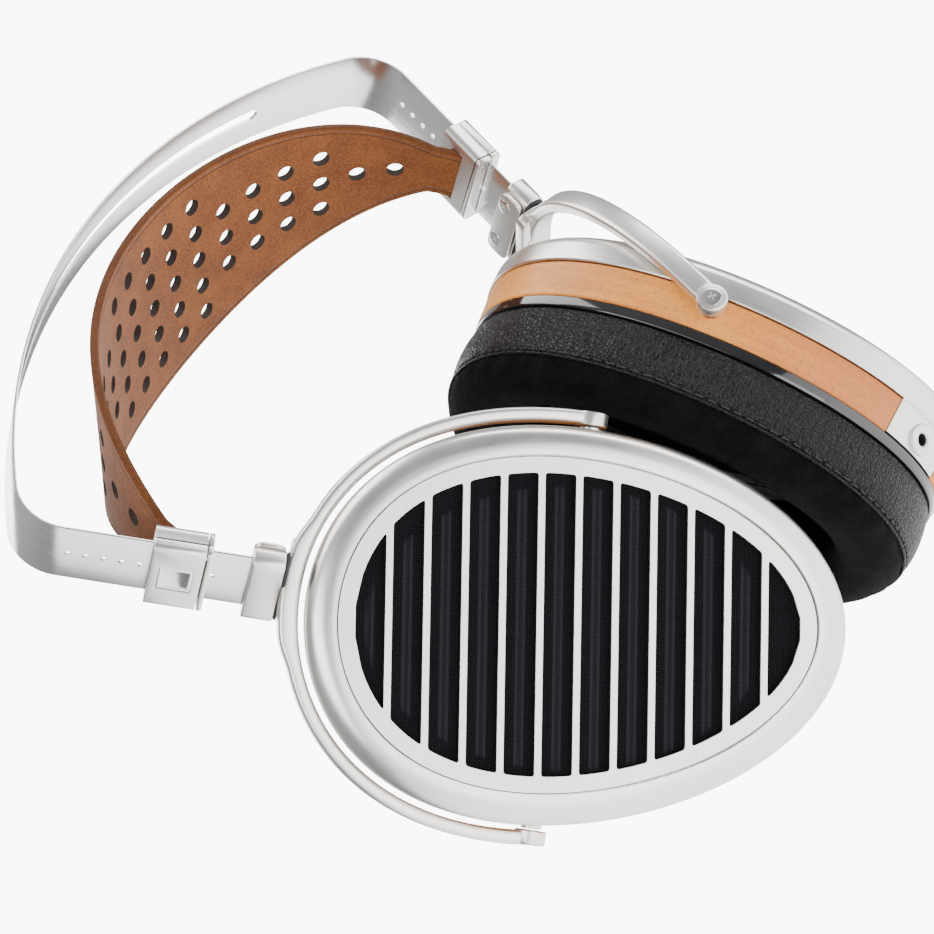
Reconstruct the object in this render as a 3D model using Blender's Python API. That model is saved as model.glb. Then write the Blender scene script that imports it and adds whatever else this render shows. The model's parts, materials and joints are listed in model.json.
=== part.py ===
"""Open-backed over-ear headphones: spring headband, head strap, sliders, yokes and two cups.

Units are metres and +Z is up.  The wearer looks along -Y, and +X is the wearer's left.
Each side is drawn once in its own frame (out, back, up) and mirrored for the right side:
"out" points away from the head, "back" to the wearer's rear and "up" along the headband's arm.
The origin lies on the underside of the head strap, in the plane of the headband.
"""
import math

import bmesh
import bpy
import numpy as np
from mathutils import Vector

# ---------------------------------------------------------------- clearances
GAP = 0.0003                     # between two pieces that seat on each other
SLIP = 0.0003                    # round a pin or a strip that passes through
OVERRUN = 0.002                  # how far a cutter runs past what it cuts

# ---------------------------------------------------------------- spring headband
STRIP_WIDTH = 0.0196
STRIP_THICKNESS = 0.0008
ARM_FOOT_X = 0.0700              # half the distance between the lower ends of the arms
ARM_LEAN = math.radians(23.4)
ARM_LENGTH = 0.0552
SHOULDER_RADIUS = 0.0132
ARCH_RADIUS = 0.1497
ARCH_SLOT_LENGTH = 0.1325
ARCH_SLOT_WIDTH = 0.0038
DETENT_COUNT = 9
DETENT_PITCH = 0.0044
DETENT_FIRST = 0.0180            # above the arm's foot
DETENT_HOLE_RADIUS = 0.0008

# ---------------------------------------------------------------- slider on each arm
SLIDER_STOP = 2                  # the detent that the slider stands at, from the lowest
SLIDER_LENGTH = 0.0128
SLIDER_WIDTH = 0.0236
SLIDER_DEPTH_OUT = 0.0034
SLIDER_DEPTH_IN = 0.0046
SLIDER_ROUND = 0.0026
SLIDER_END_THICKNESS = 0.0013
PANEL_SIZE = 0.0088
PANEL_DEPTH = 0.0005
SMALL_SCREW_INSET = 0.0026       # from the slider's side to a screw
SMALL_SCREW_HEAD_RADIUS = 0.0011
SMALL_SCREW_RADIUS = 0.0006
SMALL_SCREW_HEAD = 0.0006
SMALL_SCREW_LENGTH = 0.0036
BALL_RADIUS = 0.0010

# ---------------------------------------------------------------- head strap
STRAP_THICKNESS = 0.0022
STRAP_WIDTH = 0.057
STRAP_NECK_WIDTH = 0.0165
STRAP_NECK_SHARE = 0.90          # of the half length, where the narrow neck begins
STRAP_CROWN = 0.0769             # middle of the strap above the arms' feet, before it leans
STRAP_BULGE = 1.01               # widest half span over the half distance of the strap's ends
STRAP_LEAN = math.radians(16.6)  # backwards, at the crown
STRAP_ENGAGE = 0.0020            # how deep the strap's end sits in the slider

# ---------------------------------------------------------------- hinge block and swivel
BLOCK_HEIGHT = 0.0080
BLOCK_WIDTH = 0.0240
BLOCK_DEPTH_OUT = 0.0036
BLOCK_DEPTH_IN = 0.0030
BLOCK_ROUND = 0.0028
COVER_THICKNESS = 0.0014
STRIP_END = 0.0042               # the strip's end above the arm's foot
GASKET_THICKNESS = 0.0005
CLAMP_SCREW_SPACING = 0.0130
CLAMP_SCREW_HEAD_RADIUS = 0.0021
CLAMP_SCREW_RADIUS = 0.0011
CLAMP_SCREW_HEAD = 0.0008
CLAMP_SCREW_LENGTH = 0.0056
SWIVEL_PIN_RADIUS = 0.0020
SWIVEL_HEAD_RADIUS = 0.0031
SWIVEL_HEAD = 0.0010

# ---------------------------------------------------------------- cup
CUP_HALF_LENGTH = 0.0665
CUP_HALF_WIDTH = 0.0494
CUP_TAPER = 0.124                # the top is wider than the bottom
CUP_FULLNESS = 0.022
CUP_CENTRE_UP = -0.0029          # outline's centre from the tilt axis
CUP_CENTRE_BACK = -0.0009
CUP_RAKE = math.radians(7.7)     # the long axis leans, the bottom to the front
WOOD_IN = -0.0065                # layers of the cup, outwards from the tilt axis
WOOD_OUT = 0.0035
WOOD_THICKNESS = 0.0024
WOOD_TAPER = 0.0010
RIM_INSET = 0.0006               # wood's outer face under the rim's
SIDE_TOP = 0.0093
FACE_OUT = 0.0136
RIM_FACE_WIDTH = 0.0076
WALL_THICKNESS = 0.0017
LEDGE_WIDTH = 0.0019
LEDGE_THICKNESS = 0.0016
GRILLE_THICKNESS = 0.0015
GRILLE_MARGIN = 0.0040
GRILLE_BARS = 11
GRILLE_PITCH = 0.0092
GRILLE_BAR_WIDTH = 0.0017
GRILLE_CENTRE_UP = -0.0025
GRILLE_CORNER = 0.0012
MESH_THICKNESS = 0.0005
FRAME_DEPTH = 0.0060
FRAME_WIDTH = 0.0032
MAGNET_DEPTH = 0.0030
MAGNET_BARS = 11
MAGNET_PITCH = 0.0080
MAGNET_BAR_WIDTH = 0.0030
MAGNET_MARGIN = 0.0022
DIAPHRAGM_THICKNESS = 0.0004
BAFFLE_THICKNESS = 0.0027
BAFFLE_WIDTH = 0.0150
BAFFLE_INSET = 0.0018
PAD_DEPTH_BACK = 0.0250
PAD_DEPTH_FRONT = 0.0205
PAD_WIDTH = 0.0205
JACK_ANGLE = math.radians(205.0)
JACK_OUT = -0.0015
JACK_RING_RADIUS = 0.0040
JACK_HOLE_RADIUS = 0.00175
JACK_BARREL_RADIUS = 0.0030
JACK_LENGTH = 0.0120
JACK_SECTION_LENGTH = 0.0240     # of the outline that is metal and not wood

# ---------------------------------------------------------------- yoke
YOKE_GAP = 0.0014                # between the cup's side and the yoke
YOKE_DEPTH = 0.0036
YOKE_WIDTH = 0.0062
YOKE_BASE_WIDTH = 0.0078
YOKE_OFFSET = 0.0015             # the cup's tilt axis from the arm's plane, outwards
PIVOT_BOSS_RADIUS = 0.0025
PIVOT_EYE_RADIUS = 0.0040
PIVOT_HEAD_RADIUS = 0.0026
PIVOT_HEAD = 0.0010
PIVOT_RADIUS = 0.0014
PIVOT_ENGAGE = 0.0030

# ---------------------------------------------------------------- rest pose of each side, degrees
SIDES = {"left": 1, "right": -1}
SWIVEL_TO_FRONT = {"left": math.radians(15.0), "right": math.radians(56.0)}
FACE_UP = {"left": math.radians(26.0), "right": math.radians(1.8)}

RING_STEPS = 40                  # points round a cup
ROUND_STEPS = 10                 # points round a pin


# ================================================================ plane geometry
def cup_outline(offset=0.0, start=0.0, stop=2 * math.pi, steps=RING_STEPS, closed=True):
    """Points (up, back) of the cup's egg-shaped outline, moved outwards by an offset."""
    count = steps if closed else steps + 1
    t = start + (stop - start) * np.arange(count) / steps
    up = CUP_CENTRE_UP + CUP_HALF_LENGTH * np.cos(t)
    swell = 1 + CUP_TAPER * np.cos(t) + CUP_FULLNESS * np.cos(2 * t)
    back = CUP_CENTRE_BACK + CUP_HALF_WIDTH * np.sin(t) * swell
    d_up = -CUP_HALF_LENGTH * np.sin(t)
    d_swell = -CUP_TAPER * np.sin(t) - 2 * CUP_FULLNESS * np.sin(2 * t)
    d_back = CUP_HALF_WIDTH * (np.cos(t) * swell + np.sin(t) * d_swell)
    length = np.hypot(d_up, d_back)
    return np.column_stack((up + offset * d_back / length, back - offset * d_up / length))


def to_yoke(points):
    """Turn (up, back) points of the cup by its rake into the yoke's (up, back) plane."""
    up, back = points[:, 0], points[:, 1]
    turned_up = up * math.cos(CUP_RAKE) - back * math.sin(CUP_RAKE)
    turned_back = back * math.cos(CUP_RAKE) + up * math.sin(CUP_RAKE)
    return np.column_stack((turned_up, turned_back))


def yoke_outline(offset):
    """The cup's outline in the yoke's plane, from the front pivot over the top to the back one."""
    points = to_yoke(cup_outline(offset, steps=720))
    points = points[np.argsort(np.arctan2(points[:, 1], points[:, 0]))]
    return points[points[:, 0] >= 0.0]


def reach_up(offset=0.0):
    """Height of the cup's outline above the tilt axis, over the middle of the yoke."""
    points = yoke_outline(offset)
    return float(np.interp(0.0, points[:, 1], points[:, 0]))


def reach_side(sign, offset=0.0):
    """Distance along the tilt axis to the cup's outline: -1 is the front and +1 the back."""
    points = to_yoke(cup_outline(offset, steps=720))
    points = points[points[:, 1] * sign > 0]
    order = np.argsort(points[:, 0])
    return abs(float(np.interp(0.0, points[order, 0], points[order, 1])))


def round_corners(points, radius, steps=3):
    """Replace the sharp corners of a closed outline with arcs."""
    result = []
    count = len(points)
    for index, corner in enumerate(points):
        here = Vector(corner)
        back = Vector(points[index - 1]) - here
        ahead = Vector(points[(index + 1) % count]) - here
        angle = back.angle(ahead)
        if angle > math.radians(140):
            result.append(tuple(here))
            continue
        trim = min(radius / math.tan(angle / 2), 0.45 * back.length, 0.45 * ahead.length)
        first = here + back.normalized() * trim
        last = here + ahead.normalized() * trim
        for step in range(steps + 1):
            k = step / steps
            result.append(tuple((1 - k) ** 2 * first + 2 * k * (1 - k) * here + k ** 2 * last))
    return result


def pill_outline(width, depth_in, depth_out, radius, steps=4):
    """Points (out, back) of a rounded bar section whose long side lies across the strip."""
    half = width / 2
    corners = [(-depth_in, -half), (depth_out, -half), (depth_out, half), (-depth_in, half)]
    return round_corners(corners, radius, steps)


# ================================================================ meshes
def new_bmesh(rings, caps=True, loop=False):
    """Skin a list of equally long point rings; the ends are closed, or joined to each other."""
    bm = bmesh.new()
    rows = [[bm.verts.new(point) for point in ring] for ring in rings]
    pairs = list(zip(rows, rows[1:]))
    if loop:
        pairs.append((rows[-1], rows[0]))
    for low, high in pairs:
        for index in range(len(low)):
            after = (index + 1) % len(low)
            bm.faces.new((low[index], low[after], high[after], high[index]))
    if caps and not loop:
        bm.faces.new(rows[0])
        bm.faces.new(rows[-1])
    return bm


def prism(outline, place_low, place_high):
    """A prism between two placings of one flat outline."""
    return new_bmesh([[place_low(*point) for point in outline], [place_high(*point) for point in outline]])


def upright_prism(outline, low, high):
    """A prism of an (out, back) outline along the arm."""
    return prism(outline, lambda a, b: (a, b, low), lambda a, b: (a, b, high))


def face_prism(outline, low, high):
    """A prism of an (up, back) outline along the cup's outward direction."""
    return prism(outline, lambda a, b: (low, b, a), lambda a, b: (high, b, a))


def box(centre, size):
    """A box from its centre and full sizes."""
    (x, y, z), (dx, dy, dz) = centre, (side / 2 for side in size)
    outline = [(x - dx, y - dy), (x + dx, y - dy), (x + dx, y + dy), (x - dx, y + dy)]
    return upright_prism(outline, z - dz, z + dz)


def turned(profile, origin, axis, steps=ROUND_STEPS):
    """Turn a profile of (radius, distance) points round an axis; it ends on flat faces."""
    direction = Vector(axis).normalized()
    side = direction.orthogonal().normalized()
    other = direction.cross(side)
    rings = []
    for radius, distance in profile:
        centre = Vector(origin) + direction * distance
        angles = [2 * math.pi * index / steps for index in range(steps)]
        rings.append([centre + radius * (side * math.cos(a) + other * math.sin(a)) for a in angles])
    return new_bmesh(rings)


def headed_pin(head_radius, head, radius, length):
    """Profile of a screw or pin from its head's face at 0 down to its tip."""
    return [(head_radius, 0.0), (head_radius, -head), (radius, -head), (radius, -length)]


def cup_ring(profile, start=0.0, stop=2 * math.pi, steps=RING_STEPS, closed=True, depth=None):
    """Sweep a closed profile of (offset, out) points round the cup's outline."""
    lines = []
    for offset, out in profile:
        points = cup_outline(offset, start, stop, steps, closed)
        outs = [depth(out, up, back) if depth else out for up, back in points]
        lines.append([(o, back, up) for o, (up, back) in zip(outs, points)])
    rings = [[line[index] for line in lines] for index in range(len(lines[0]))]
    return new_bmesh(rings, caps=not closed, loop=closed)


def merge(*meshes):
    """Put several closed shapes into one mesh, for a cutter."""
    target = bmesh.new()
    for bm in meshes:
        offset = {vert: target.verts.new(vert.co) for vert in bm.verts}
        for face in bm.faces:
            target.faces.new([offset[vert] for vert in face.verts])
        bm.free()
    return target


# ================================================================ objects
def material(name, colour, roughness, metallic=0.0):
    """A Principled material, made once for each name."""
    found = bpy.data.materials.get(name)
    if found:
        return found
    made = bpy.data.materials.new(name)
    made.use_nodes = True
    shader = made.node_tree.nodes["Principled BSDF"]
    shader.inputs["Base Color"].default_value = (*colour, 1.0)
    shader.inputs["Roughness"].default_value = roughness
    shader.inputs["Metallic"].default_value = metallic
    return made


def satin():
    return material("satin_metal", (0.80, 0.78, 0.75), 0.32, 1.0)


def steel():
    return material("spring_steel", (0.83, 0.83, 0.82), 0.28, 1.0)


def chrome():
    return material("chrome_screw", (0.86, 0.86, 0.86), 0.12, 1.0)


def wood():
    return material("golden_veneer", (0.72, 0.42, 0.17), 0.38)


def suede():
    return material("brown_suede", (0.25, 0.11, 0.045), 0.92)


def leather():
    return material("black_pad", (0.018, 0.018, 0.02), 0.55)


def gloss():
    return material("gloss_black", (0.008, 0.008, 0.009), 0.12)


def dark(name="dark_mesh", roughness=0.8):
    return material(name, (0.03, 0.03, 0.032), roughness)


def socket_white():
    return material("socket_ring", (0.85, 0.85, 0.83), 0.35)


class Side:
    """One side of the headphones: its sign and the empties that carry its pieces."""

    def __init__(self, name):
        self.name = name
        self.sign = SIDES[name]
        self.arm = self.empty("arm", None, (self.sign * ARM_FOOT_X, 0, FOOT_Z), (0, self.sign * ARM_LEAN, 0))
        self.slider = self.empty("slider", self.arm, (0, 0, slider_height()))
        swivel = -self.sign * SWIVEL_TO_FRONT[name]
        self.swivel = self.empty("swivel", self.arm, (0, 0, 0), (0, 0, swivel))
        tilt = -self.sign * FACE_UP[name]
        pivot = (self.sign * YOKE_OFFSET, 0, -pivot_drop())
        self.tilt = self.empty("tilt", self.swivel, pivot, (0, tilt, 0))
        self.cup = self.empty("cup", self.tilt, (0, 0, 0), (-CUP_RAKE, 0, 0))

    def empty(self, name, parent, location, rotation=(0, 0, 0)):
        marker = bpy.data.objects.new(f"{name}_axis_{self.name}", None)
        marker.empty_display_size = 0.01
        bpy.context.scene.collection.objects.link(marker)
        marker.parent = parent
        marker.location = location
        marker.rotation_euler = rotation
        return marker

    def add(self, name, bm, station, look):
        """Make a piece of this side, mirrored for the right, under one of its empties."""
        return add_object(f"{name}_{self.name}", bm, look, station, self.sign)

    def cutter(self, name, bm, station):
        return as_cutter(self.add(f"cut_{name}", bm, station, None))


def add_object(name, bm, look, parent=None, sign=1):
    """Turn a bmesh into a named object with outward faces and smooth round sides."""
    for vert in bm.verts:
        vert.co.x *= sign
    bmesh.ops.recalc_face_normals(bm, faces=bm.faces)
    mesh = bpy.data.meshes.new(name)
    bm.to_mesh(mesh)
    bm.free()
    mesh.shade_smooth()
    mesh.set_sharp_from_angle(angle=math.radians(35))
    if look:
        mesh.materials.append(look)
    piece = bpy.data.objects.new(name, mesh)
    bpy.context.scene.collection.objects.link(piece)
    piece.parent = parent
    return piece


def as_cutter(piece):
    piece.hide_render = True
    piece.display_type = "WIRE"
    return piece


def combine(target, tool, operation):
    modifier = target.modifiers.new(f"{operation.lower()}_{tool.name}"[:60], "BOOLEAN")
    modifier.operation = operation
    modifier.solver = "EXACT"
    modifier.object = tool


def cut(target, tool):
    combine(target, tool, "DIFFERENCE")


def join(target, tool):
    combine(target, as_cutter(tool), "UNION")


# ================================================================ where things stand
def pivot_drop():
    """The tilt axis below the yoke's top, which stands one gap under the gasket."""
    return reach_up() + YOKE_GAP + YOKE_DEPTH + GAP


def slider_height():
    """The middle of the slider above the arm's foot, at its detent."""
    return DETENT_FIRST + SLIDER_STOP * DETENT_PITCH


def block_foot():
    return GASKET_THICKNESS + 2 * GAP


def strap_anchor():
    """Half span and height over the arms' feet of the end of the strap, inside the slider."""
    along = slider_height() - SLIDER_LENGTH / 2 + 0.3 * SLIDER_LENGTH
    out = -SLIDER_DEPTH_IN + STRAP_ENGAGE
    x = ARM_FOOT_X + along * math.sin(ARM_LEAN) + out * math.cos(ARM_LEAN)
    z = along * math.cos(ARM_LEAN) - out * math.sin(ARM_LEAN)
    return x, z


def strap_rise():
    """Height of the strap's middle over its ends."""
    return STRAP_CROWN - strap_anchor()[1]


def foot_z():
    """Height of the arms' feet that puts the strap's underside at the origin."""
    slant = (strap_rise() - STRAP_THICKNESS / 2) / math.cos(STRAP_LEAN)
    return -(strap_anchor()[1] + slant)


FOOT_Z = foot_z()


# ================================================================ headband
def half_headband(steps_bend=6, steps_arch=14):
    """Centre line of the spring from the left arm's end to its crown, as (x, z) points."""
    along = Vector((math.sin(ARM_LEAN), math.cos(ARM_LEAN)))
    inward = Vector((-math.cos(ARM_LEAN), math.sin(ARM_LEAN)))
    foot = Vector((ARM_FOOT_X, 0.0))
    shoulder = foot + along * ARM_LENGTH + inward * SHOULDER_RADIUS
    rise = math.sqrt((ARCH_RADIUS - SHOULDER_RADIUS) ** 2 - shoulder.x ** 2)
    centre = Vector((0.0, shoulder.y - rise))
    meet = math.atan2(rise, shoulder.x)
    start = math.atan2(-inward.y, -inward.x)
    points = [foot + along * STRIP_END]
    for step in range(steps_bend + 1):
        angle = start + (meet - start) * step / steps_bend
        points.append(shoulder + SHOULDER_RADIUS * Vector((math.cos(angle), math.sin(angle))))
    for step in range(1, steps_arch + 1):
        angle = meet + (math.pi / 2 - meet) * step / steps_arch
        points.append(centre + ARCH_RADIUS * Vector((math.cos(angle), math.sin(angle))))
    return points, centre


def strip_rings(points, half_widths, thickness):
    """Rectangular sections across a centre line in the XZ plane."""
    rings = []
    for index, point in enumerate(points):
        before = points[max(index - 1, 0)]
        after = points[min(index + 1, len(points) - 1)]
        along = (after - before).normalized()
        normal = Vector((-along.y, along.x)) * thickness / 2
        half = half_widths[index]
        corners = ((1, -half), (1, half), (-1, half), (-1, -half))
        rings.append([(point.x + k * normal.x, y, FOOT_Z + point.y + k * normal.y) for k, y in corners])
    return rings


def build_headband(sides):
    left_half, centre = half_headband()
    right_half = [Vector((-p.x, p.y)) for p in reversed(left_half[:-1])]
    line = left_half + right_half
    strip = add_object("headband_spring", new_bmesh(strip_rings(line, [STRIP_WIDTH / 2] * len(line),
                                                                STRIP_THICKNESS)), steel())
    half_angle = ARCH_SLOT_LENGTH / 2 / ARCH_RADIUS
    radius = ARCH_SLOT_WIDTH / 2
    end_angle = radius / ARCH_RADIUS
    turns = [math.cos(math.pi * k / 12) for k in range(1, 6)]
    angles = [half_angle - end_angle + end_angle * turn for turn in turns]
    angles += list(np.linspace(half_angle - end_angle, 0.0, 10))
    angles += [-angle for angle in reversed(angles[:-1])]
    slot_line = [centre + ARCH_RADIUS * Vector((math.sin(a), math.cos(a))) for a in angles]
    past = [max(abs(a) - half_angle + end_angle, 0.0) / end_angle for a in angles]
    widths = [radius * math.sqrt(max(1.0 - k * k, 0.0)) for k in past]
    slot = add_object("cut_arch_slot", new_bmesh(strip_rings(slot_line, widths, 4 * STRIP_THICKNESS)), None)
    cut(strip, as_cutter(slot))
    for side in sides:
        cut(strip, side.cutter("arm_holes", arm_holes(), side.arm))
    return strip


def arm_holes():
    """Detent holes and the two clamp-screw holes of one arm."""
    through = 4 * STRIP_THICKNESS
    tools = []
    for index in range(DETENT_COUNT):
        origin = (-through / 2, 0, DETENT_FIRST + index * DETENT_PITCH)
        profile = [(DETENT_HOLE_RADIUS, 0.0), (DETENT_HOLE_RADIUS, through)]
        tools.append(turned(profile, origin, (1, 0, 0), 6))
    for back in (-CLAMP_SCREW_SPACING / 2, CLAMP_SCREW_SPACING / 2):
        profile = [(CLAMP_SCREW_RADIUS + SLIP, 0.0), (CLAMP_SCREW_RADIUS + SLIP, through)]
        tools.append(turned(profile, (-through / 2, back, clamp_screw_height()), (1, 0, 0), 6))
    return merge(*tools)


def clamp_screw_height():
    return block_foot() + BLOCK_HEIGHT * 0.68


# ================================================================ head strap
def strap_rings(thickness, steps=24):
    """Sections of the strap from the left slider over the crown to the right one."""
    end_x, _ = strap_anchor()
    half_span = STRAP_BULGE * end_x
    end_angle = math.asin(1 / STRAP_BULGE)
    height = strap_rise() / (1 - math.cos(end_angle))
    across = (-1.0, 0.0, 1.0)
    rings = []
    for step in range(steps + 1):
        share = 1 - 2 * step / steps
        angle = share * end_angle
        x = half_span * math.sin(angle)
        above = strap_rise() - height * (1 - math.cos(angle))
        normal = Vector((height * math.sin(angle), half_span * math.cos(angle))).normalized()
        fullness = max(1 - (share / STRAP_NECK_SHARE) ** 2, 0.0)
        half = (STRAP_NECK_WIDTH + (STRAP_WIDTH - STRAP_NECK_WIDTH) * fullness) / 2
        lean = STRAP_LEAN * above / strap_rise()
        middle_back = above * math.sin(lean)
        middle_up = strap_anchor()[1] + above * math.cos(lean)
        ring = []
        for side, row in ((1, across), (-1, tuple(reversed(across)))):
            for k in row:
                back = middle_back + k * half * math.cos(lean)
                up = middle_up - k * half * math.sin(lean)
                shift = side * thickness / 2
                out = Vector((normal.x, normal.y * math.sin(lean), normal.y * math.cos(lean))).normalized()
                ring.append((x + shift * out.x, back + shift * out.y, FOOT_Z + up + shift * out.z))
        rings.append(ring)
    return rings


def build_strap():
    return add_object("head_strap", new_bmesh(strap_rings(STRAP_THICKNESS)), suede())


# ================================================================ slider
def shell_outline(depth):
    """Section (out, back) of one slider half: a rounded bar with a channel for the strip."""
    sign = 1 if depth > 0 else -1
    half = SLIDER_WIDTH / 2
    channel = STRIP_WIDTH / 2 + SLIP
    floor = STRIP_THICKNESS / 2 + SLIP
    split = GAP / 2
    outer = round_corners([(0.0, -half), (abs(depth), -half), (abs(depth), half), (0.0, half)], SLIDER_ROUND, 4)
    outer = [point for point in outer if point[0] > split]
    inner = [(split, half), (split, channel), (floor, channel), (floor, -channel), (split, -channel), (split, -half)]
    return [(sign * out, back) for out, back in outer + inner]


def screw_places(depth):
    """The two screws (out, back) that hold an end plate to a slider half."""
    out = math.copysign((abs(depth) + STRIP_THICKNESS / 2) / 2 + GAP / 2, depth)
    back = SLIDER_WIDTH / 2 - SMALL_SCREW_INSET
    return (out, -back), (out, back)


def build_slider(side):
    low = -SLIDER_LENGTH / 2
    high = SLIDER_LENGTH / 2
    plate_high = low - GAP
    plate_low = plate_high - SLIDER_END_THICKNESS
    for part, depth in (("outer", SLIDER_DEPTH_OUT), ("inner", -SLIDER_DEPTH_IN)):
        outline = shell_outline(depth)
        shell = side.add(f"slider_{part}", upright_prism(outline, low, high), side.slider, satin())
        plate = side.add(f"slider_end_{part}", upright_prism(outline, plate_low, plate_high), side.slider, satin())
        bores = []
        for number, (out, back) in enumerate(screw_places(depth), start=1):
            profile = headed_pin(SMALL_SCREW_HEAD_RADIUS, SMALL_SCREW_HEAD, SMALL_SCREW_RADIUS, SMALL_SCREW_LENGTH)
            screw = turned(profile, (out, back, plate_low), (0, 0, -1), 8)
            side.add(f"slider_screw_{part}_{number}", screw, side.slider, chrome())
            wide = [(radius + SLIP, distance) for radius, distance in profile]
            wide[0] = (wide[0][0], OVERRUN)
            wide[1] = (wide[1][0], wide[1][1] - GAP / 2)
            wide[2] = (wide[2][0], wide[2][1] - GAP / 2)
            wide[3] = (wide[3][0], wide[3][1] - GAP)
            bores.append(turned(wide, (out, back, plate_low), (0, 0, -1), 8))
        tool = side.cutter(f"slider_bores_{part}", merge(*bores), side.slider)
        cut(plate, tool)
        cut(shell, tool)
        if part == "outer":
            panel = box((depth, 0, 0), (2 * PANEL_DEPTH, PANEL_SIZE, PANEL_SIZE))
            cut(shell, side.cutter("slider_panel", panel, side.slider))
        else:
            cut(shell, side.cutter("ball_pocket", ball_pocket(), side.slider))
            cut(shell, as_cutter(add_object(f"cut_strap_slot_{side.name}", strap_slot(side.sign), None)))
    return ball(side)


def strap_slot(sign):
    """The pocket for the strap's end, a little larger than the strap all round."""
    rings = strap_rings(STRAP_THICKNESS + 2 * SLIP)
    first, second = [Vector(p) for p in rings[0]], [Vector(p) for p in rings[1]]
    centre = sum(first, Vector()) / len(first)
    wide = (STRAP_NECK_WIDTH + 2 * SLIP) / STRAP_NECK_WIDTH
    deeper = []
    for a, b in zip(first, second):
        a = Vector((a.x, centre.y + (a.y - centre.y) * wide, a.z))
        deeper.append((a, (a - b).normalized()))
    low = [tuple(a + d * 2 * SLIP) for a, d in deeper]
    high = [tuple(a - d * (STRAP_ENGAGE * 3 + OVERRUN)) for a, d in deeper]
    return new_bmesh([[(sign * x, y, z) for x, y, z in ring] for ring in (low, high)])


def ball_centre():
    return -(STRIP_THICKNESS / 2 + GAP / 3 + BALL_RADIUS)


def ball_pocket():
    bottom = ball_centre() - BALL_RADIUS - SLIP
    radius = BALL_RADIUS + SLIP
    return turned([(radius, 0.0), (radius, -bottom)], (bottom, 0, 0), (1, 0, 0), 12)


def ball(side):
    bm = bmesh.new()
    bmesh.ops.create_icosphere(bm, subdivisions=2, radius=BALL_RADIUS)
    bmesh.ops.translate(bm, verts=bm.verts, vec=(ball_centre(), 0, 0))
    return side.add("detent_ball", bm, side.slider, chrome())


# ================================================================ hinge block
def build_hinge(side):
    low = block_foot()
    high = low + BLOCK_HEIGHT
    outline = pill_outline(BLOCK_WIDTH, BLOCK_DEPTH_IN, BLOCK_DEPTH_OUT, BLOCK_ROUND)
    block = side.add("hinge_block", upright_prism(outline, low, high), side.arm, satin())
    slot_low = STRIP_END - GAP
    slot = box((0, 0, (slot_low + high + OVERRUN) / 2),
               (STRIP_THICKNESS + 2 * SLIP, STRIP_WIDTH + 2 * SLIP, high + OVERRUN - slot_low))
    cut(block, side.cutter("strip_slot", slot, side.arm))
    build_cover(side, block, low, high)
    gasket_outline = pill_outline(BLOCK_WIDTH - 2 * GAP, BLOCK_DEPTH_IN, BLOCK_DEPTH_OUT - GAP, BLOCK_ROUND)
    gasket = side.add("hinge_gasket", upright_prism(gasket_outline, GAP, GAP + GASKET_THICKNESS), side.arm,
                      dark("black_gasket", 0.7))
    head_face = -GAP - YOKE_DEPTH + GAP / 2
    tip = STRIP_END - 3 * GAP
    profile = headed_pin(SWIVEL_HEAD_RADIUS, SWIVEL_HEAD, SWIVEL_PIN_RADIUS, tip - head_face)
    side.add("swivel_pin", turned(profile, (0, 0, head_face), (0, 0, -1)), side.arm, chrome())
    bore = [(SWIVEL_PIN_RADIUS + SLIP, 0.0), (SWIVEL_PIN_RADIUS + SLIP, OVERRUN + tip + GAP)]
    tool = side.cutter("swivel_bore", turned(bore, (0, 0, -OVERRUN), (0, 0, 1)), side.arm)
    cut(gasket, tool)
    cut(block, tool)


def build_cover(side, block, low, high):
    """The plate on the block's inner face and the two screws that clamp the strip."""
    face = -BLOCK_DEPTH_IN - GAP
    half = BLOCK_WIDTH / 2 - BLOCK_ROUND / 2
    inner = face - COVER_THICKNESS
    outline = round_corners([(low, -half), (high, -half), (high, half), (low, half)], BLOCK_ROUND, 4)
    cover = side.add("hinge_cover", face_prism(outline, inner, face), side.arm, satin())
    bores = []
    for number, back in enumerate((-CLAMP_SCREW_SPACING / 2, CLAMP_SCREW_SPACING / 2), start=1):
        place = (inner, back, clamp_screw_height())
        profile = headed_pin(CLAMP_SCREW_HEAD_RADIUS, CLAMP_SCREW_HEAD, CLAMP_SCREW_RADIUS, CLAMP_SCREW_LENGTH)
        side.add(f"clamp_screw_{number}", turned(profile, place, (-1, 0, 0)), side.arm, chrome())
        wide = [(radius + SLIP, distance) for radius, distance in profile]
        wide[0] = (wide[0][0], OVERRUN)
        wide[1] = (wide[1][0], wide[1][1] - GAP / 2)
        wide[2] = (wide[2][0], wide[2][1] - GAP / 2)
        wide[3] = (wide[3][0], wide[3][1] - GAP)
        bores.append(turned(wide, place, (-1, 0, 0)))
    tool = side.cutter("clamp_bores", merge(*bores), side.arm)
    cut(cover, tool)
    cut(block, tool)


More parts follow.
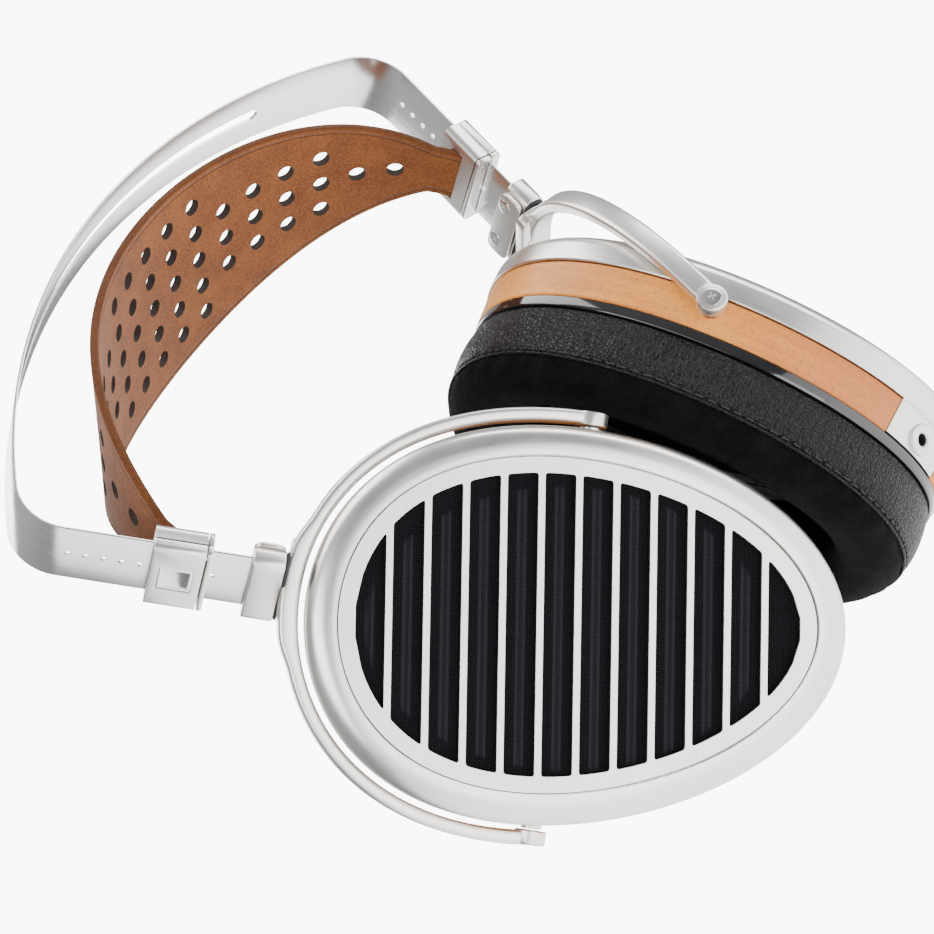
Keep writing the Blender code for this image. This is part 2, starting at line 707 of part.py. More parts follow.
# ================================================================ yoke
def build_yoke(side):
    """The arch round the upper half of the cup, with its base and its two pivot eyes."""
    drop = pivot_drop()
    path = yoke_outline(YOKE_GAP + YOKE_DEPTH / 2)
    path = path[np.linspace(0, len(path) - 1, 29).astype(int)]
    rings = []
    for index, (up, back) in enumerate(path):
        before = path[max(index - 1, 0)]
        after = path[min(index + 1, len(path) - 1)]
        along = (after - before) / np.linalg.norm(after - before)
        normal = np.array((along[1], -along[0]))
        share = abs(2 * index / (len(path) - 1) - 1)
        width = YOKE_BASE_WIDTH + (YOKE_WIDTH - YOKE_BASE_WIDTH) * share ** 0.5
        section = round_corners([(-YOKE_DEPTH / 2, -width / 2), (YOKE_DEPTH / 2, -width / 2),
                                 (YOKE_DEPTH / 2, width / 2), (-YOKE_DEPTH / 2, width / 2)], 0.0015, 1)
        rings.append([(YOKE_OFFSET + w, back + r * normal[1], up + r * normal[0] - drop) for r, w in section])
    yoke = side.add("yoke", new_bmesh(rings), side.swivel, satin())
    base_outline = pill_outline(BLOCK_WIDTH, BLOCK_DEPTH_IN + GAP + COVER_THICKNESS, BLOCK_DEPTH_OUT, BLOCK_ROUND)
    base = side.add("tool_yoke_base", upright_prism(base_outline, -GAP - 0.9 * YOKE_DEPTH, -GAP), side.swivel, satin())
    join(yoke, base)
    for name, sign in (("front", -1), ("back", 1)):
        build_pivot(side, yoke, name, sign)
    profile = headed_pin(SWIVEL_HEAD_RADIUS + SLIP, SWIVEL_HEAD + GAP / 2, SWIVEL_PIN_RADIUS + SLIP, 2 * YOKE_DEPTH)
    profile[0] = (profile[0][0], OVERRUN)
    head_face = -GAP - YOKE_DEPTH + GAP / 2
    cut(yoke, side.cutter("swivel_seat", turned(profile, (0, 0, head_face), (0, 0, -1)), side.swivel))


def build_pivot(side, yoke, name, sign):
    """One pivot eye of the yoke and the screw through it into the cup."""
    inner = reach_side(sign) + YOKE_GAP
    outer = inner + YOKE_DEPTH
    centre = (YOKE_OFFSET, 0, -pivot_drop())
    eye = turned([(PIVOT_EYE_RADIUS, inner), (PIVOT_EYE_RADIUS, outer - 0.0006), (PIVOT_EYE_RADIUS - 0.0006, outer)],
                 centre, (0, sign, 0), 20)
    join(yoke, side.add(f"tool_eye_{name}", eye, side.swivel, satin()))
    place = (YOKE_OFFSET, sign * (outer - GAP), -pivot_drop())
    length = YOKE_DEPTH + YOKE_GAP + PIVOT_ENGAGE
    profile = headed_pin(PIVOT_HEAD_RADIUS, PIVOT_HEAD, PIVOT_RADIUS, length)
    side.add(f"pivot_screw_{name}", turned(profile, place, (0, sign, 0)), side.swivel, chrome())
    wide = [(PIVOT_HEAD_RADIUS + SLIP, OVERRUN), (PIVOT_HEAD_RADIUS + SLIP, -PIVOT_HEAD - GAP / 2),
            (PIVOT_RADIUS + SLIP, -PIVOT_HEAD - GAP / 2), (PIVOT_RADIUS + SLIP, -YOKE_DEPTH - OVERRUN / 2)]
    cut(yoke, side.cutter(f"pivot_seat_{name}", turned(wide, place, (0, sign, 0)), side.swivel))


# ================================================================ cup
def wood_inner():
    return -RIM_INSET - WOOD_THICKNESS


def wall_outer():
    return wood_inner() - GAP


def wall_inner():
    return wall_outer() - WALL_THICKNESS


def ledge_inner():
    return -RIM_FACE_WIDTH - LEDGE_WIDTH


def ledge_top():
    return FACE_OUT - 0.0004 - GRILLE_THICKNESS - GAP


def jack_range():
    """Start and stop angles of the metal section that holds the socket."""
    half = JACK_SECTION_LENGTH / 2 / (0.5 * (CUP_HALF_LENGTH + CUP_HALF_WIDTH))
    return JACK_ANGLE - half, JACK_ANGLE + half


def jack_place():
    """Point on the outline and outward direction of the socket, as (back, up) pairs."""
    step = math.radians(0.5)
    before, here, after = cup_outline(0.0, JACK_ANGLE - step, JACK_ANGLE + step, 2, False)
    along = after - before
    direction = Vector((0.0, -along[0], along[1])).normalized()
    return Vector((JACK_OUT, here[1], here[0])), direction


def build_shell(side):
    """Metal rim, inner wall, jack section and the two bosses that take the pivot screws."""
    ledge_low = ledge_top() - LEDGE_THICKNESS
    profile = [(wall_outer(), WOOD_IN + GAP), (wall_outer(), WOOD_OUT + GAP), (0.0, WOOD_OUT + GAP),
               (0.0, SIDE_TOP), (-0.0008, SIDE_TOP + 0.0019), (-0.0026, FACE_OUT - 0.0009),
               (-0.0050, FACE_OUT - 0.0001), (-RIM_FACE_WIDTH, FACE_OUT),
               (-RIM_FACE_WIDTH, ledge_top()), (ledge_inner(), ledge_top()), (ledge_inner(), ledge_low),
               (wall_inner(), ledge_low), (wall_inner(), WOOD_IN + GAP)]
    shell = side.add("cup_shell", cup_ring(profile), side.cup, satin())
    start, stop = jack_range()
    section = [(wall_outer() - 0.5 * WALL_THICKNESS, WOOD_IN + GAP), (-RIM_INSET - WOOD_TAPER, WOOD_IN + GAP),
               (-RIM_INSET, WOOD_OUT + 3 * GAP), (wall_outer() - 0.5 * WALL_THICKNESS, WOOD_OUT + 3 * GAP)]
    span = cup_ring(section, start, stop, 10, closed=False)
    join(shell, side.add("tool_jack_section", span, side.cup, satin()))
    for name, sign in (("front", -1), ("back", 1)):
        near = reach_side(sign) - abs(wall_inner()) + 0.2 * WALL_THICKNESS
        far = reach_side(sign) + YOKE_GAP - GAP
        boss = turned([(PIVOT_BOSS_RADIUS, near - PIVOT_ENGAGE), (PIVOT_BOSS_RADIUS, far)], (0, 0, 0), (0, sign, 0))
        join(shell, side.add(f"tool_boss_{name}", boss, side.tilt, satin()))
        bore_far = reach_side(sign) + YOKE_GAP + OVERRUN
        bore_near = reach_side(sign) - PIVOT_ENGAGE - GAP
        bore = [(PIVOT_RADIUS + SLIP, bore_near), (PIVOT_RADIUS + SLIP, bore_far)]
        cut(shell, side.cutter(f"boss_bore_{name}", turned(bore, (0, 0, 0), (0, sign, 0)), side.tilt))
    return shell


def build_wood(side):
    start, stop = jack_range()
    trim = GAP / CUP_HALF_WIDTH
    profile = [(wood_inner(), WOOD_IN), (-RIM_INSET - WOOD_TAPER, WOOD_IN), (-RIM_INSET, WOOD_OUT),
               (wood_inner(), WOOD_OUT)]
    band = side.add("wood_band", cup_ring(profile, stop + trim, start - trim + 2 * math.pi, RING_STEPS - 4,
                                        closed=False),
                    side.cup, wood())
    for name, sign in (("front", -1), ("back", 1)):
        reach = reach_side(sign)
        hole = [(PIVOT_BOSS_RADIUS + SLIP, reach - 2 * WOOD_THICKNESS - OVERRUN), (PIVOT_BOSS_RADIUS + SLIP, reach + OVERRUN)]
        cut(band, side.cutter(f"wood_hole_{name}", turned(hole, (0, 0, 0), (0, sign, 0)), side.tilt))


def build_jack(side, shell):
    """The turned socket: a ring flush with the metal section and a barrel inside the cup."""
    place, direction = jack_place()
    seat = -RIM_INSET
    flange = 0.0012
    outer = [(JACK_HOLE_RADIUS, seat), (JACK_RING_RADIUS, seat), (JACK_RING_RADIUS, seat - flange),
             (JACK_BARREL_RADIUS, seat - flange), (JACK_BARREL_RADIUS, seat - JACK_LENGTH),
             (JACK_HOLE_RADIUS, seat - JACK_LENGTH)]
    socket = tube_of(outer, place, direction)
    side.add("jack_socket", socket, side.cup, socket_white())
    bore = [(JACK_RING_RADIUS + SLIP, OVERRUN), (JACK_RING_RADIUS + SLIP, seat - flange - GAP),
            (JACK_BARREL_RADIUS + SLIP, seat - flange - GAP), (JACK_BARREL_RADIUS + SLIP, seat - JACK_LENGTH)]
    cut(shell, side.cutter("jack_bore", turned(bore, place, direction), side.cup))


def tube_of(profile, origin, axis, steps=ROUND_STEPS):
    """Turn a closed profile that never meets the axis, such as a socket with a bore."""
    direction = Vector(axis).normalized()
    side = direction.orthogonal().normalized()
    other = direction.cross(side)
    rings = []
    for index in range(steps):
        angle = 2 * math.pi * index / steps
        spoke = side * math.cos(angle) + other * math.sin(angle)
        rings.append([Vector(origin) + spoke * radius + direction * distance for radius, distance in profile])
    return new_bmesh(rings, caps=False, loop=True)


def slot_outlines(offset, bars, pitch, bar_width, centre_up, corner):
    """Outlines (up, back) of the openings between straight bars inside an offset outline."""
    window = cup_outline(offset, steps=720)
    top, bottom = window[:, 0].max(), window[:, 0].min()
    edges = [centre_up + (index - (bars - 1) / 2) * pitch for index in range(bars)]
    lows = [bottom + 0.0002] + [edge + bar_width / 2 for edge in edges]
    highs = [edge - bar_width / 2 for edge in edges] + [top - 0.0002]
    front = window[window[:, 1] < CUP_CENTRE_BACK]
    back = window[window[:, 1] >= CUP_CENTRE_BACK]
    front, back = front[np.argsort(front[:, 0])], back[np.argsort(back[:, 0])]
    outlines = []
    for low, high in zip(lows, highs):
        low, high = max(low, bottom + 0.0002), min(high, top - 0.0002)
        if high - low < 2 * corner:
            continue
        levels = np.linspace(low, high, 3)
        forward = [(up, float(np.interp(up, front[:, 0], front[:, 1]))) for up in levels]
        rearward = [(up, float(np.interp(up, back[:, 0], back[:, 1]))) for up in reversed(levels)]
        outlines.append(round_corners(forward + rearward, corner, 2))
    return outlines


def slotted_plate(side, name, outer, margin, low, high, bars, pitch, bar_width, look):
    """An egg-shaped plate with a straight-barred window."""
    outline = [tuple(point) for point in cup_outline(outer)]
    plate = side.add(name, face_prism(outline, low, high), side.cup, look)
    holes = [face_prism(hole, low - OVERRUN, high + OVERRUN)
             for hole in slot_outlines(outer - margin, bars, pitch, bar_width, GRILLE_CENTRE_UP, GRILLE_CORNER)]
    cut(plate, side.cutter(f"{name}_slots", merge(*holes), side.cup))
    return plate


def egg_plate(side, name, offset, low, high, look):
    outline = [tuple(point) for point in cup_outline(offset)]
    return side.add(name, face_prism(outline, low, high), side.cup, look)


def build_driver(side):
    """Grille, mesh, driver frame, magnet bars and diaphragm, one behind the other."""
    grille_low = ledge_top() + GAP
    slotted_plate(side, "grille", -RIM_FACE_WIDTH - GAP, GRILLE_MARGIN, grille_low, grille_low + GRILLE_THICKNESS,
                  GRILLE_BARS, GRILLE_PITCH, GRILLE_BAR_WIDTH, satin())
    mesh_high = grille_low - GAP
    egg_plate(side, "grille_mesh", ledge_inner() - GAP, mesh_high - MESH_THICKNESS, mesh_high, dark())
    frame_high = ledge_top() - LEDGE_THICKNESS - GAP
    frame_low = frame_high - FRAME_DEPTH
    frame_outer = wall_inner() - GAP
    frame_inner = frame_outer - FRAME_WIDTH
    frame = [(frame_outer, frame_low), (frame_outer, frame_high), (frame_inner, frame_high), (frame_inner, frame_low)]
    side.add("driver_frame", cup_ring(frame), side.cup, dark("driver_black", 0.5))
    magnet_high = frame_high - 2 * GAP
    slotted_plate(side, "magnet_array", frame_inner - GAP, MAGNET_MARGIN, magnet_high - MAGNET_DEPTH, magnet_high,
                  MAGNET_BARS, MAGNET_PITCH, MAGNET_BAR_WIDTH, dark("magnet_grey", 0.4))
    film_high = magnet_high - MAGNET_DEPTH - GAP
    egg_plate(side, "diaphragm", frame_inner - GAP, film_high - DIAPHRAGM_THICKNESS, film_high,
              dark("diaphragm_film", 0.3))


def build_ear_side(side):
    """The glossy baffle ring and the ear pad, which is deeper behind the ear."""
    top = WOOD_IN - GAP
    low = top - BAFFLE_THICKNESS
    outer = -RIM_INSET - WOOD_TAPER - 0.0002
    inner = -BAFFLE_INSET - BAFFLE_WIDTH
    baffle = [(outer, top), (outer, low + 0.0006), (outer - 0.0006, low), (inner, low), (inner, top)]
    side.add("baffle", cup_ring(baffle), side.cup, gloss())
    seat = low - GAP
    middle = 0.5 * (PAD_DEPTH_BACK + PAD_DEPTH_FRONT)

    def deepen(out, up, back):
        share = back / CUP_HALF_WIDTH
        depth = middle + 0.5 * (PAD_DEPTH_BACK - PAD_DEPTH_FRONT) * share
        return seat + (out - seat) * depth / middle

    full = seat - middle
    wall = outer - 0.0006
    pad = [(wall, seat), (wall + 0.0007, seat - 0.25 * middle), (wall + 0.0004, seat - 0.55 * middle),
           (wall - 0.0016, seat - 0.82 * middle), (wall - 0.0058, full + 0.0006), (wall - 0.0100, full),
           (wall - 0.0150, full + 0.0016), (wall - PAD_WIDTH + 0.0012, full + 0.0060),
           (wall - PAD_WIDTH, full + 0.0130), (wall - PAD_WIDTH + 0.0004, seat)]
    side.add("ear_pad", cup_ring(pad, depth=deepen), side.cup, leather())


def build_cup(side):
    shell = build_shell(side)
    build_wood(side)
    build_jack(side, shell)
    build_driver(side)
    build_ear_side(side)


# ================================================================ assembly
def build_all():
    for old in list(bpy.data.objects):
        bpy.data.objects.remove(old, do_unlink=True)
    sides = [Side(name) for name in SIDES]
    build_headband(sides)
    build_strap()
    for side in sides:
        build_slider(side)
        build_hinge(side)
        build_yoke(side)
        build_cup(side)


build_all()
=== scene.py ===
"""Looks of a pair of open-backed over-ear headphones.

Every piece is made in metres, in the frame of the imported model: +Z is up, the wearer looks
along -Y and +X is the wearer's left.  A piece of one side is drawn in that side's own frame
(out, back, up): "out" points away from the head, "back" to the wearer's rear.
"""
import json
import logging
import math
from dataclasses import dataclass, field
from enum import Enum
from typing import Any, Callable, Dict, List, Optional, Sequence, Tuple

import bmesh
import bpy
from mathutils import Matrix, Vector

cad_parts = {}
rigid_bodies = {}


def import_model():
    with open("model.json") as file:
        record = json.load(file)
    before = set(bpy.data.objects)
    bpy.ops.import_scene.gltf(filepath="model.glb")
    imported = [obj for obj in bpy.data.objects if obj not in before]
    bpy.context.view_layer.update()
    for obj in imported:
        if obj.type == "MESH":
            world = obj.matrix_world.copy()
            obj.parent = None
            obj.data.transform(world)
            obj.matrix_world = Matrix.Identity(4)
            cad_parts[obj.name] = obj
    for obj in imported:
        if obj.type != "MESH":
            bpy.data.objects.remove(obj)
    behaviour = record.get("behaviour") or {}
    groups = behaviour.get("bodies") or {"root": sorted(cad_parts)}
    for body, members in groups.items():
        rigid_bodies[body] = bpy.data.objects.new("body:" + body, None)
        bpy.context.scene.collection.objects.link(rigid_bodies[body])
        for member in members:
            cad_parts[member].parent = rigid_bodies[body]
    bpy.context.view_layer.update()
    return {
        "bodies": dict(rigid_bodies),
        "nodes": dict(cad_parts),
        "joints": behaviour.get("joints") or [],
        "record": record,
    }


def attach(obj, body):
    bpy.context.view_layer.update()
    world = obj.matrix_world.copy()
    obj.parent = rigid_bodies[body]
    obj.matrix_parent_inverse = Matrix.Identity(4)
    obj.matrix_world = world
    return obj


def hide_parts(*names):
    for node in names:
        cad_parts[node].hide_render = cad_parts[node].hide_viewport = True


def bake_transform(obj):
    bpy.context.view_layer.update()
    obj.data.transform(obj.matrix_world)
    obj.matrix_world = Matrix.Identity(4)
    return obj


LOG = logging.getLogger("headphones")
Point = Tuple[float, float]
Place = Callable[[float, float, float], Vector]


class SideName(Enum):
    """The wearer's two sides, with the sign of X on each."""

    LEFT = 1
    RIGHT = -1

    @property
    def label(self) -> str:
        """The word that ends the names of this side's pieces."""
        return self.name.lower()


# ================================================================ shader expressions
class Signal:
    """A shader output that arithmetic works on, each operator adding its Math node."""

    def __init__(self, recipe: "Recipe", socket: Any) -> None:
        """Wrap a node's output socket."""
        self.recipe = recipe
        self.socket = socket

    def _math(self, operation: str, first: Any, second: Any = None) -> "Signal":
        """Add a Math node and return its result."""
        inputs = {0: first} if second is None else {0: first, 1: second}
        return self.recipe.add("ShaderNodeMath", {"operation": operation}, inputs)

    def __add__(self, other: Any) -> "Signal":
        """Sum."""
        return self._math("ADD", self, other)

    def __radd__(self, other: Any) -> "Signal":
        """Sum, reflected."""
        return self._math("ADD", other, self)

    def __sub__(self, other: Any) -> "Signal":
        """Difference."""
        return self._math("SUBTRACT", self, other)

    def __rsub__(self, other: Any) -> "Signal":
        """Difference, reflected."""
        return self._math("SUBTRACT", other, self)

    def __mul__(self, other: Any) -> "Signal":
        """Product."""
        return self._math("MULTIPLY", self, other)

    def __rmul__(self, other: Any) -> "Signal":
        """Product, reflected."""
        return self._math("MULTIPLY", other, self)

    def __truediv__(self, other: Any) -> "Signal":
        """Quotient."""
        return self._math("DIVIDE", self, other)

    def sine(self) -> "Signal":
        """Sine of the value, in radians."""
        return self._math("SINE", self)

    def size(self) -> "Signal":
        """Absolute value."""
        return self._math("ABSOLUTE", self)

    def largest(self, other: Any) -> "Signal":
        """The larger of two values."""
        return self._math("MAXIMUM", self, other)

    def ramp(self, low: float, high: float) -> "Signal":
        """A smooth step from 0 at low to 1 at high."""
        return self.recipe.add("ShaderNodeMapRange", {"interpolation_type": "SMOOTHSTEP"},
                               {"Value": self, "From Min": low, "From Max": high})


class Recipe:
    """One material's node tree round a Principled shader."""

    def __init__(self, name: str, color: Sequence[float], roughness: float, metallic: float = 0.0,
                 constants: Optional[Dict[str, float]] = None) -> None:
        """Start a material with the constant values of its shader's sockets.

        Args:
            name: The material's name.
            color: Linear red, green and blue.
            roughness: The shader's roughness.
            metallic: 1 for a bare metal.
            constants: Other sockets' values by their names.
        """
        self.material = bpy.data.materials.new(name)
        self.material.use_nodes = True
        self.tree = self.material.node_tree
        self.tree.nodes.clear()
        self.shader = self.tree.nodes.new("ShaderNodeBsdfPrincipled")
        output = self.tree.nodes.new("ShaderNodeOutputMaterial")
        self.tree.links.new(self.shader.outputs[0], output.inputs[0])
        self.shader.inputs["Base Color"].default_value = (*color, 1.0)
        self.shader.inputs["Roughness"].default_value = roughness
        self.shader.inputs["Metallic"].default_value = metallic
        for socket, value in (constants or {}).items():
            self.shader.inputs[socket].default_value = value
        self.material.diffuse_color = (*color, 1.0)

    def add(self, kind: str, settings: Optional[Dict[str, Any]] = None,
            inputs: Optional[Dict[Any, Any]] = None, output: Any = 0) -> Signal:
        """Add any node.

        Args:
            kind: The node's type.
            settings: Its properties, or "stops" for a colour ramp.
            inputs: Values or signals of its sockets, by name or number.
            output: The output that is returned, by name or number.

        Returns:
            The chosen output as a signal.
        """
        node = self.tree.nodes.new(kind)
        for key, value in (settings or {}).items():
            if key == "stops":
                ramp = node.color_ramp
                while len(ramp.elements) < len(value):
                    ramp.elements.new(0.5)
                for element, (position, color) in zip(ramp.elements, value):
                    element.position = position
                    element.color = (*color, 1.0)
            else:
                setattr(node, key, value)
        for key, value in (inputs or {}).items():
            if isinstance(value, Signal):
                self.tree.links.new(value.socket, node.inputs[key])
            else:
                node.inputs[key].default_value = value
        return Signal(self, node.outputs[output])

    def feed(self, socket: str, signal: Signal) -> None:
        """Join a signal to one of the shader's sockets."""
        self.tree.links.new(signal.socket, self.shader.inputs[socket])

    def place(self, scale: Sequence[float] = (1, 1, 1), along_surface: bool = False) -> Signal:
        """Coordinates in metres times a scale, in space or along the surface."""
        source = self.add("ShaderNodeTexCoord", output="UV" if along_surface else "Object")
        return self.add("ShaderNodeMapping", None, {"Vector": source, "Scale": tuple(scale)})

    def part_of(self, vector: Signal, axis: str) -> Signal:
        """One component of a vector."""
        return self.add("ShaderNodeSeparateXYZ", None, {0: vector}, axis)

    def noise(self, vector: Signal, scale: float, detail: float = 3.0, rough: float = 0.55) -> Signal:
        """Fractal noise from 0 to 1."""
        return self.add("ShaderNodeTexNoise", None,
                        {"Vector": vector, "Scale": scale, "Detail": detail, "Roughness": rough})

    def cells(self, vector: Signal, scale: float, feature: str = "DISTANCE_TO_EDGE") -> Signal:
        """Distance in a pattern of cells."""
        return self.add("ShaderNodeTexVoronoi", {"feature": feature}, {"Vector": vector, "Scale": scale})

    def blend(self, share: Signal, low: Any, high: Any) -> Signal:
        """A colour between two colours or colour signals."""
        first = low if isinstance(low, Signal) else (*low, 1.0)
        second = high if isinstance(high, Signal) else (*high, 1.0)
        node = self.add("ShaderNodeMix", {"data_type": "RGBA"}, {"Factor": share}, 2)
        owner = node.socket.node
        for key, value in ((6, first), (7, second)):
            if isinstance(value, Signal):
                self.tree.links.new(value.socket, owner.inputs[key])
            else:
                owner.inputs[key].default_value = value
        return node

    def relief(self, height: Signal, depth: float, strength: float = 1.0) -> None:
        """Feed a height to the shader's normal through a Bump node."""
        self.feed("Normal", self.add("ShaderNodeBump", None,
                                     {"Height": height, "Distance": depth, "Strength": strength}))


# ================================================================ finishes
@dataclass(frozen=True)
class Metal:
    """A bare metal, blasted or brushed."""

    name: str
    color: Sequence[float]
    roughness: float
    brushing: Sequence[float] = (1.0, 1.0, 1.0)
    along_surface: bool = False
    contrast: float = 0.06
    relief: float = 0.000004

    def make(self) -> bpy.types.Material:
        """Build the material."""
        recipe = Recipe(self.name, self.color, self.roughness, 1.0)
        lines = recipe.noise(recipe.place(self.brushing, self.along_surface), 2600.0, 2.0, 0.6)
        cloud = recipe.noise(recipe.place(), 38.0, 3.0)
        shade = lines * 0.7 + cloud * 0.3
        darker = [c * (1 - self.contrast) for c in self.color]
        lighter = [min(c * (1 + 0.6 * self.contrast), 1.0) for c in self.color]
        recipe.feed("Base Color", recipe.blend(shade.ramp(0.3, 0.7), darker, lighter))
        recipe.feed("Roughness", (lines - 0.5) * 0.16 + (cloud - 0.5) * 0.10 + self.roughness)
        recipe.relief(lines, self.relief)
        return recipe.material


@dataclass(frozen=True)
class Veneer:
    """Lacquered wood veneer with short flecks, which reddens towards the ends of the band."""

    name: str = "golden_veneer"
    light: Sequence[float] = (0.86, 0.345, 0.062)
    deep: Sequence[float] = (0.60, 0.205, 0.036)
    red: Sequence[float] = (0.46, 0.125, 0.036)
    flecks: Sequence[float] = (0.34, 0.105, 0.022)
    run_middle: float = 0.185
    run_fade: float = 0.075

    def make(self) -> bpy.types.Material:
        """Build the material."""
        recipe = Recipe(self.name, self.light, 0.42, 0.0,
                        {"Coat Weight": 0.08, "Coat Roughness": 0.25, "Specular IOR Level": 0.3})
        surface = recipe.place((1, 1, 1), True)
        run = recipe.part_of(surface, "X")
        grain = recipe.noise(recipe.place((9.0, 420.0, 1.0), True), 1.0, 4.0, 0.6)
        fleck = recipe.noise(recipe.place((700.0, 2200.0, 1.0), True), 1.0, 2.0, 0.5)
        figure = recipe.noise(recipe.place((26.0, 60.0, 1.0), True), 1.0, 3.0, 0.5)
        tone = grain * 0.45 + figure * 0.55
        body = recipe.blend(tone.ramp(0.34, 0.66), self.deep, self.light)
        ends = ((run - self.run_middle).size() * -1 + self.run_middle).ramp(self.run_fade, 0.0)
        warm = recipe.blend(ends * 0.75, body, self.red)
        recipe.feed("Base Color", recipe.blend(fleck.ramp(0.50, 0.68) * 0.48, warm, self.flecks))
        recipe.feed("Roughness", fleck * 0.14 + 0.38)
        recipe.relief(grain * 0.4 + fleck, 0.00002)
        return recipe.material


@dataclass(frozen=True)
class Suede:
    """Napped brown leather with a pressed line along its edges."""

    name: str = "brown_suede"
    light: Sequence[float] = (0.235, 0.078, 0.020)
    deep: Sequence[float] = (0.115, 0.034, 0.009)
    pressed: Sequence[float] = (0.045, 0.015, 0.006)
    line_inset: float = 0.0019
    line_half: float = 0.00055
    rim_width: float = 0.0011

    def make(self) -> bpy.types.Material:
        """Build the material."""
        recipe = Recipe(self.name, self.light, 0.95, 0.0,
                        {"Sheen Weight": 0.12, "Sheen Roughness": 0.5, "Specular IOR Level": 0.12})
        nap = recipe.noise(recipe.place(), 1900.0, 3.0, 0.75)
        patch = recipe.noise(recipe.place(), 90.0, 4.0, 0.6)
        edge = recipe.part_of(recipe.place((1, 1, 1), True), "Y")
        groove = (edge - self.line_inset).size().ramp(self.line_half, 0.0)
        rim = edge.ramp(self.rim_width, 0.0)
        tone = nap * 0.7 + patch * 0.3
        body = recipe.blend(tone.ramp(0.38, 0.62), self.deep, self.light)
        recipe.feed("Base Color", recipe.blend(groove.largest(rim) * 0.62, body, self.pressed))
        recipe.feed("Roughness", patch * 0.1 + 0.86)
        recipe.relief(nap * 0.5 + patch * 0.3 - groove * 1.2, 0.00022)
        return recipe.material


@dataclass(frozen=True)
class Hide:
    """Black leather with a cell grain and a low shine."""

    name: str = "pad_leather"
    color: Sequence[float] = (0.0016, 0.0016, 0.0019)
    cell: float = 900.0

    def make(self) -> bpy.types.Material:
        """Build the material."""
        recipe = Recipe(self.name, self.color, 0.42, 0.0, {"Specular IOR Level": 0.26})
        warp = recipe.noise(recipe.place(), 260.0, 2.0)
        cells = recipe.cells(recipe.place(), self.cell)
        crease = recipe.noise(recipe.place(), 70.0, 4.0, 0.6)
        fold = recipe.noise(recipe.place((620.0, 120.0, 1.0), True), 1.0, 3.0, 0.6)
        grain = cells.ramp(0.0, 0.22) * 0.7 + warp * 0.3 + fold.ramp(0.3, 0.7) * 0.5
        lighter = [2.0 * c for c in self.color]
        recipe.feed("Base Color", recipe.blend(crease.ramp(0.3, 0.7), self.color, lighter))
        recipe.feed("Roughness", 0.50 - grain * 0.18 + crease * 0.08)
        recipe.relief(grain + crease * 0.6, 0.00045)
        return recipe.material


@dataclass(frozen=True)
class Velour:
    """Short black pile."""

    name: str = "pad_velour"
    color: Sequence[float] = (0.0020, 0.0020, 0.0024)

    def make(self) -> bpy.types.Material:
        """Build the material."""
        recipe = Recipe(self.name, self.color, 1.0, 0.0,
                        {"Sheen Weight": 0.04, "Sheen Roughness": 0.42, "Specular IOR Level": 0.03})
        pile = recipe.noise(recipe.place(), 2300.0, 3.0, 0.7)
        lie = recipe.noise(recipe.place(), 120.0, 4.0, 0.65)
        tone = pile * 0.5 + lie * 0.5
        lighter = [3.6 * c for c in self.color]
        recipe.feed("Base Color", recipe.blend(tone.ramp(0.35, 0.7), self.color, lighter))
        recipe.feed("Roughness", 0.88 + pile * 0.1)
        recipe.relief(pile + lie * 1.5, 0.0004)
        return recipe.material


@dataclass(frozen=True)
class Enamel:
    """Moulded or lacquered plastic."""

    name: str
    color: Sequence[float]
    roughness: float
    coat: float = 0.0

    def make(self) -> bpy.types.Material:
        """Build the material."""
        recipe = Recipe(self.name, self.color, self.roughness, 0.0,
                        {"Coat Weight": self.coat, "Coat Roughness": 0.05})
        haze = recipe.noise(recipe.place(), 160.0, 3.0)
        fine = recipe.noise(recipe.place(), 1800.0, 2.0)
        lighter = [min(1.35 * c, 0.95) for c in self.color]
        recipe.feed("Base Color", recipe.blend(haze.ramp(0.3, 0.7), self.color, lighter))
        recipe.feed("Roughness", (haze - 0.5) * 0.12 + self.roughness)
        recipe.relief(fine, 0.000004)
        return recipe.material


@dataclass(frozen=True)
class WireCloth:
    """Black woven mesh, with the magnets' bars faintly showing through it."""

    name: str = "woven_mesh"
    pitch: float = 0.00062
    bar_pitch: float = 0.0092
    bar_offset: float = 0.0002
    reach_up: float = 0.0500
    reach_back: float = 0.0350
    thread_dark: Sequence[float] = (0.0018, 0.0019, 0.0025)
    thread_light: Sequence[float] = (0.0085, 0.009, 0.0115)
    opening: Sequence[float] = (0.0008, 0.0008, 0.001)
    magnet: Sequence[float] = (0.045, 0.047, 0.056)

    def make(self) -> bpy.types.Material:
        """Build the material."""
        recipe = Recipe(self.name, (0.01, 0.01, 0.011), 0.6, 0.0, {"Specular IOR Level": 0.06})
        surface = recipe.place((1, 1, 1), True)
        back, up = recipe.part_of(surface, "X"), recipe.part_of(surface, "Y")
        turn = 2 * math.pi / self.pitch
        warp, weft = (back * turn).sine(), (up * turn).sine()
        weave = (warp * weft) * 0.5 + 0.5
        open_cell = ((back * turn * 0.5).sine().size() * (up * turn * 0.5).sine().size()).ramp(0.45, 0.85)
        middle = ((up + self.bar_offset) * (2 * math.pi / self.bar_pitch)).sine() * 0.5 + 0.5
        ends = ((up * up) / self.reach_up ** 2 + (back * back) / self.reach_back ** 2).ramp(1.0, 0.93)
        bars = (middle.ramp(0.80, 0.90) - middle.ramp(0.955, 0.985) * 0.6) * ends
        drift = recipe.noise(recipe.place(), 55.0, 2.0)
        thread = recipe.blend(weave * 0.6 + drift * 0.3, self.thread_dark, self.thread_light)
        dark = recipe.blend(open_cell, thread, self.opening)
        recipe.feed("Base Color", recipe.blend(bars * 0.30, dark, self.magnet))
        recipe.feed("Roughness", open_cell * 0.3 + 0.48)
        recipe.relief(weave - open_cell, 0.00012)
        return recipe.material


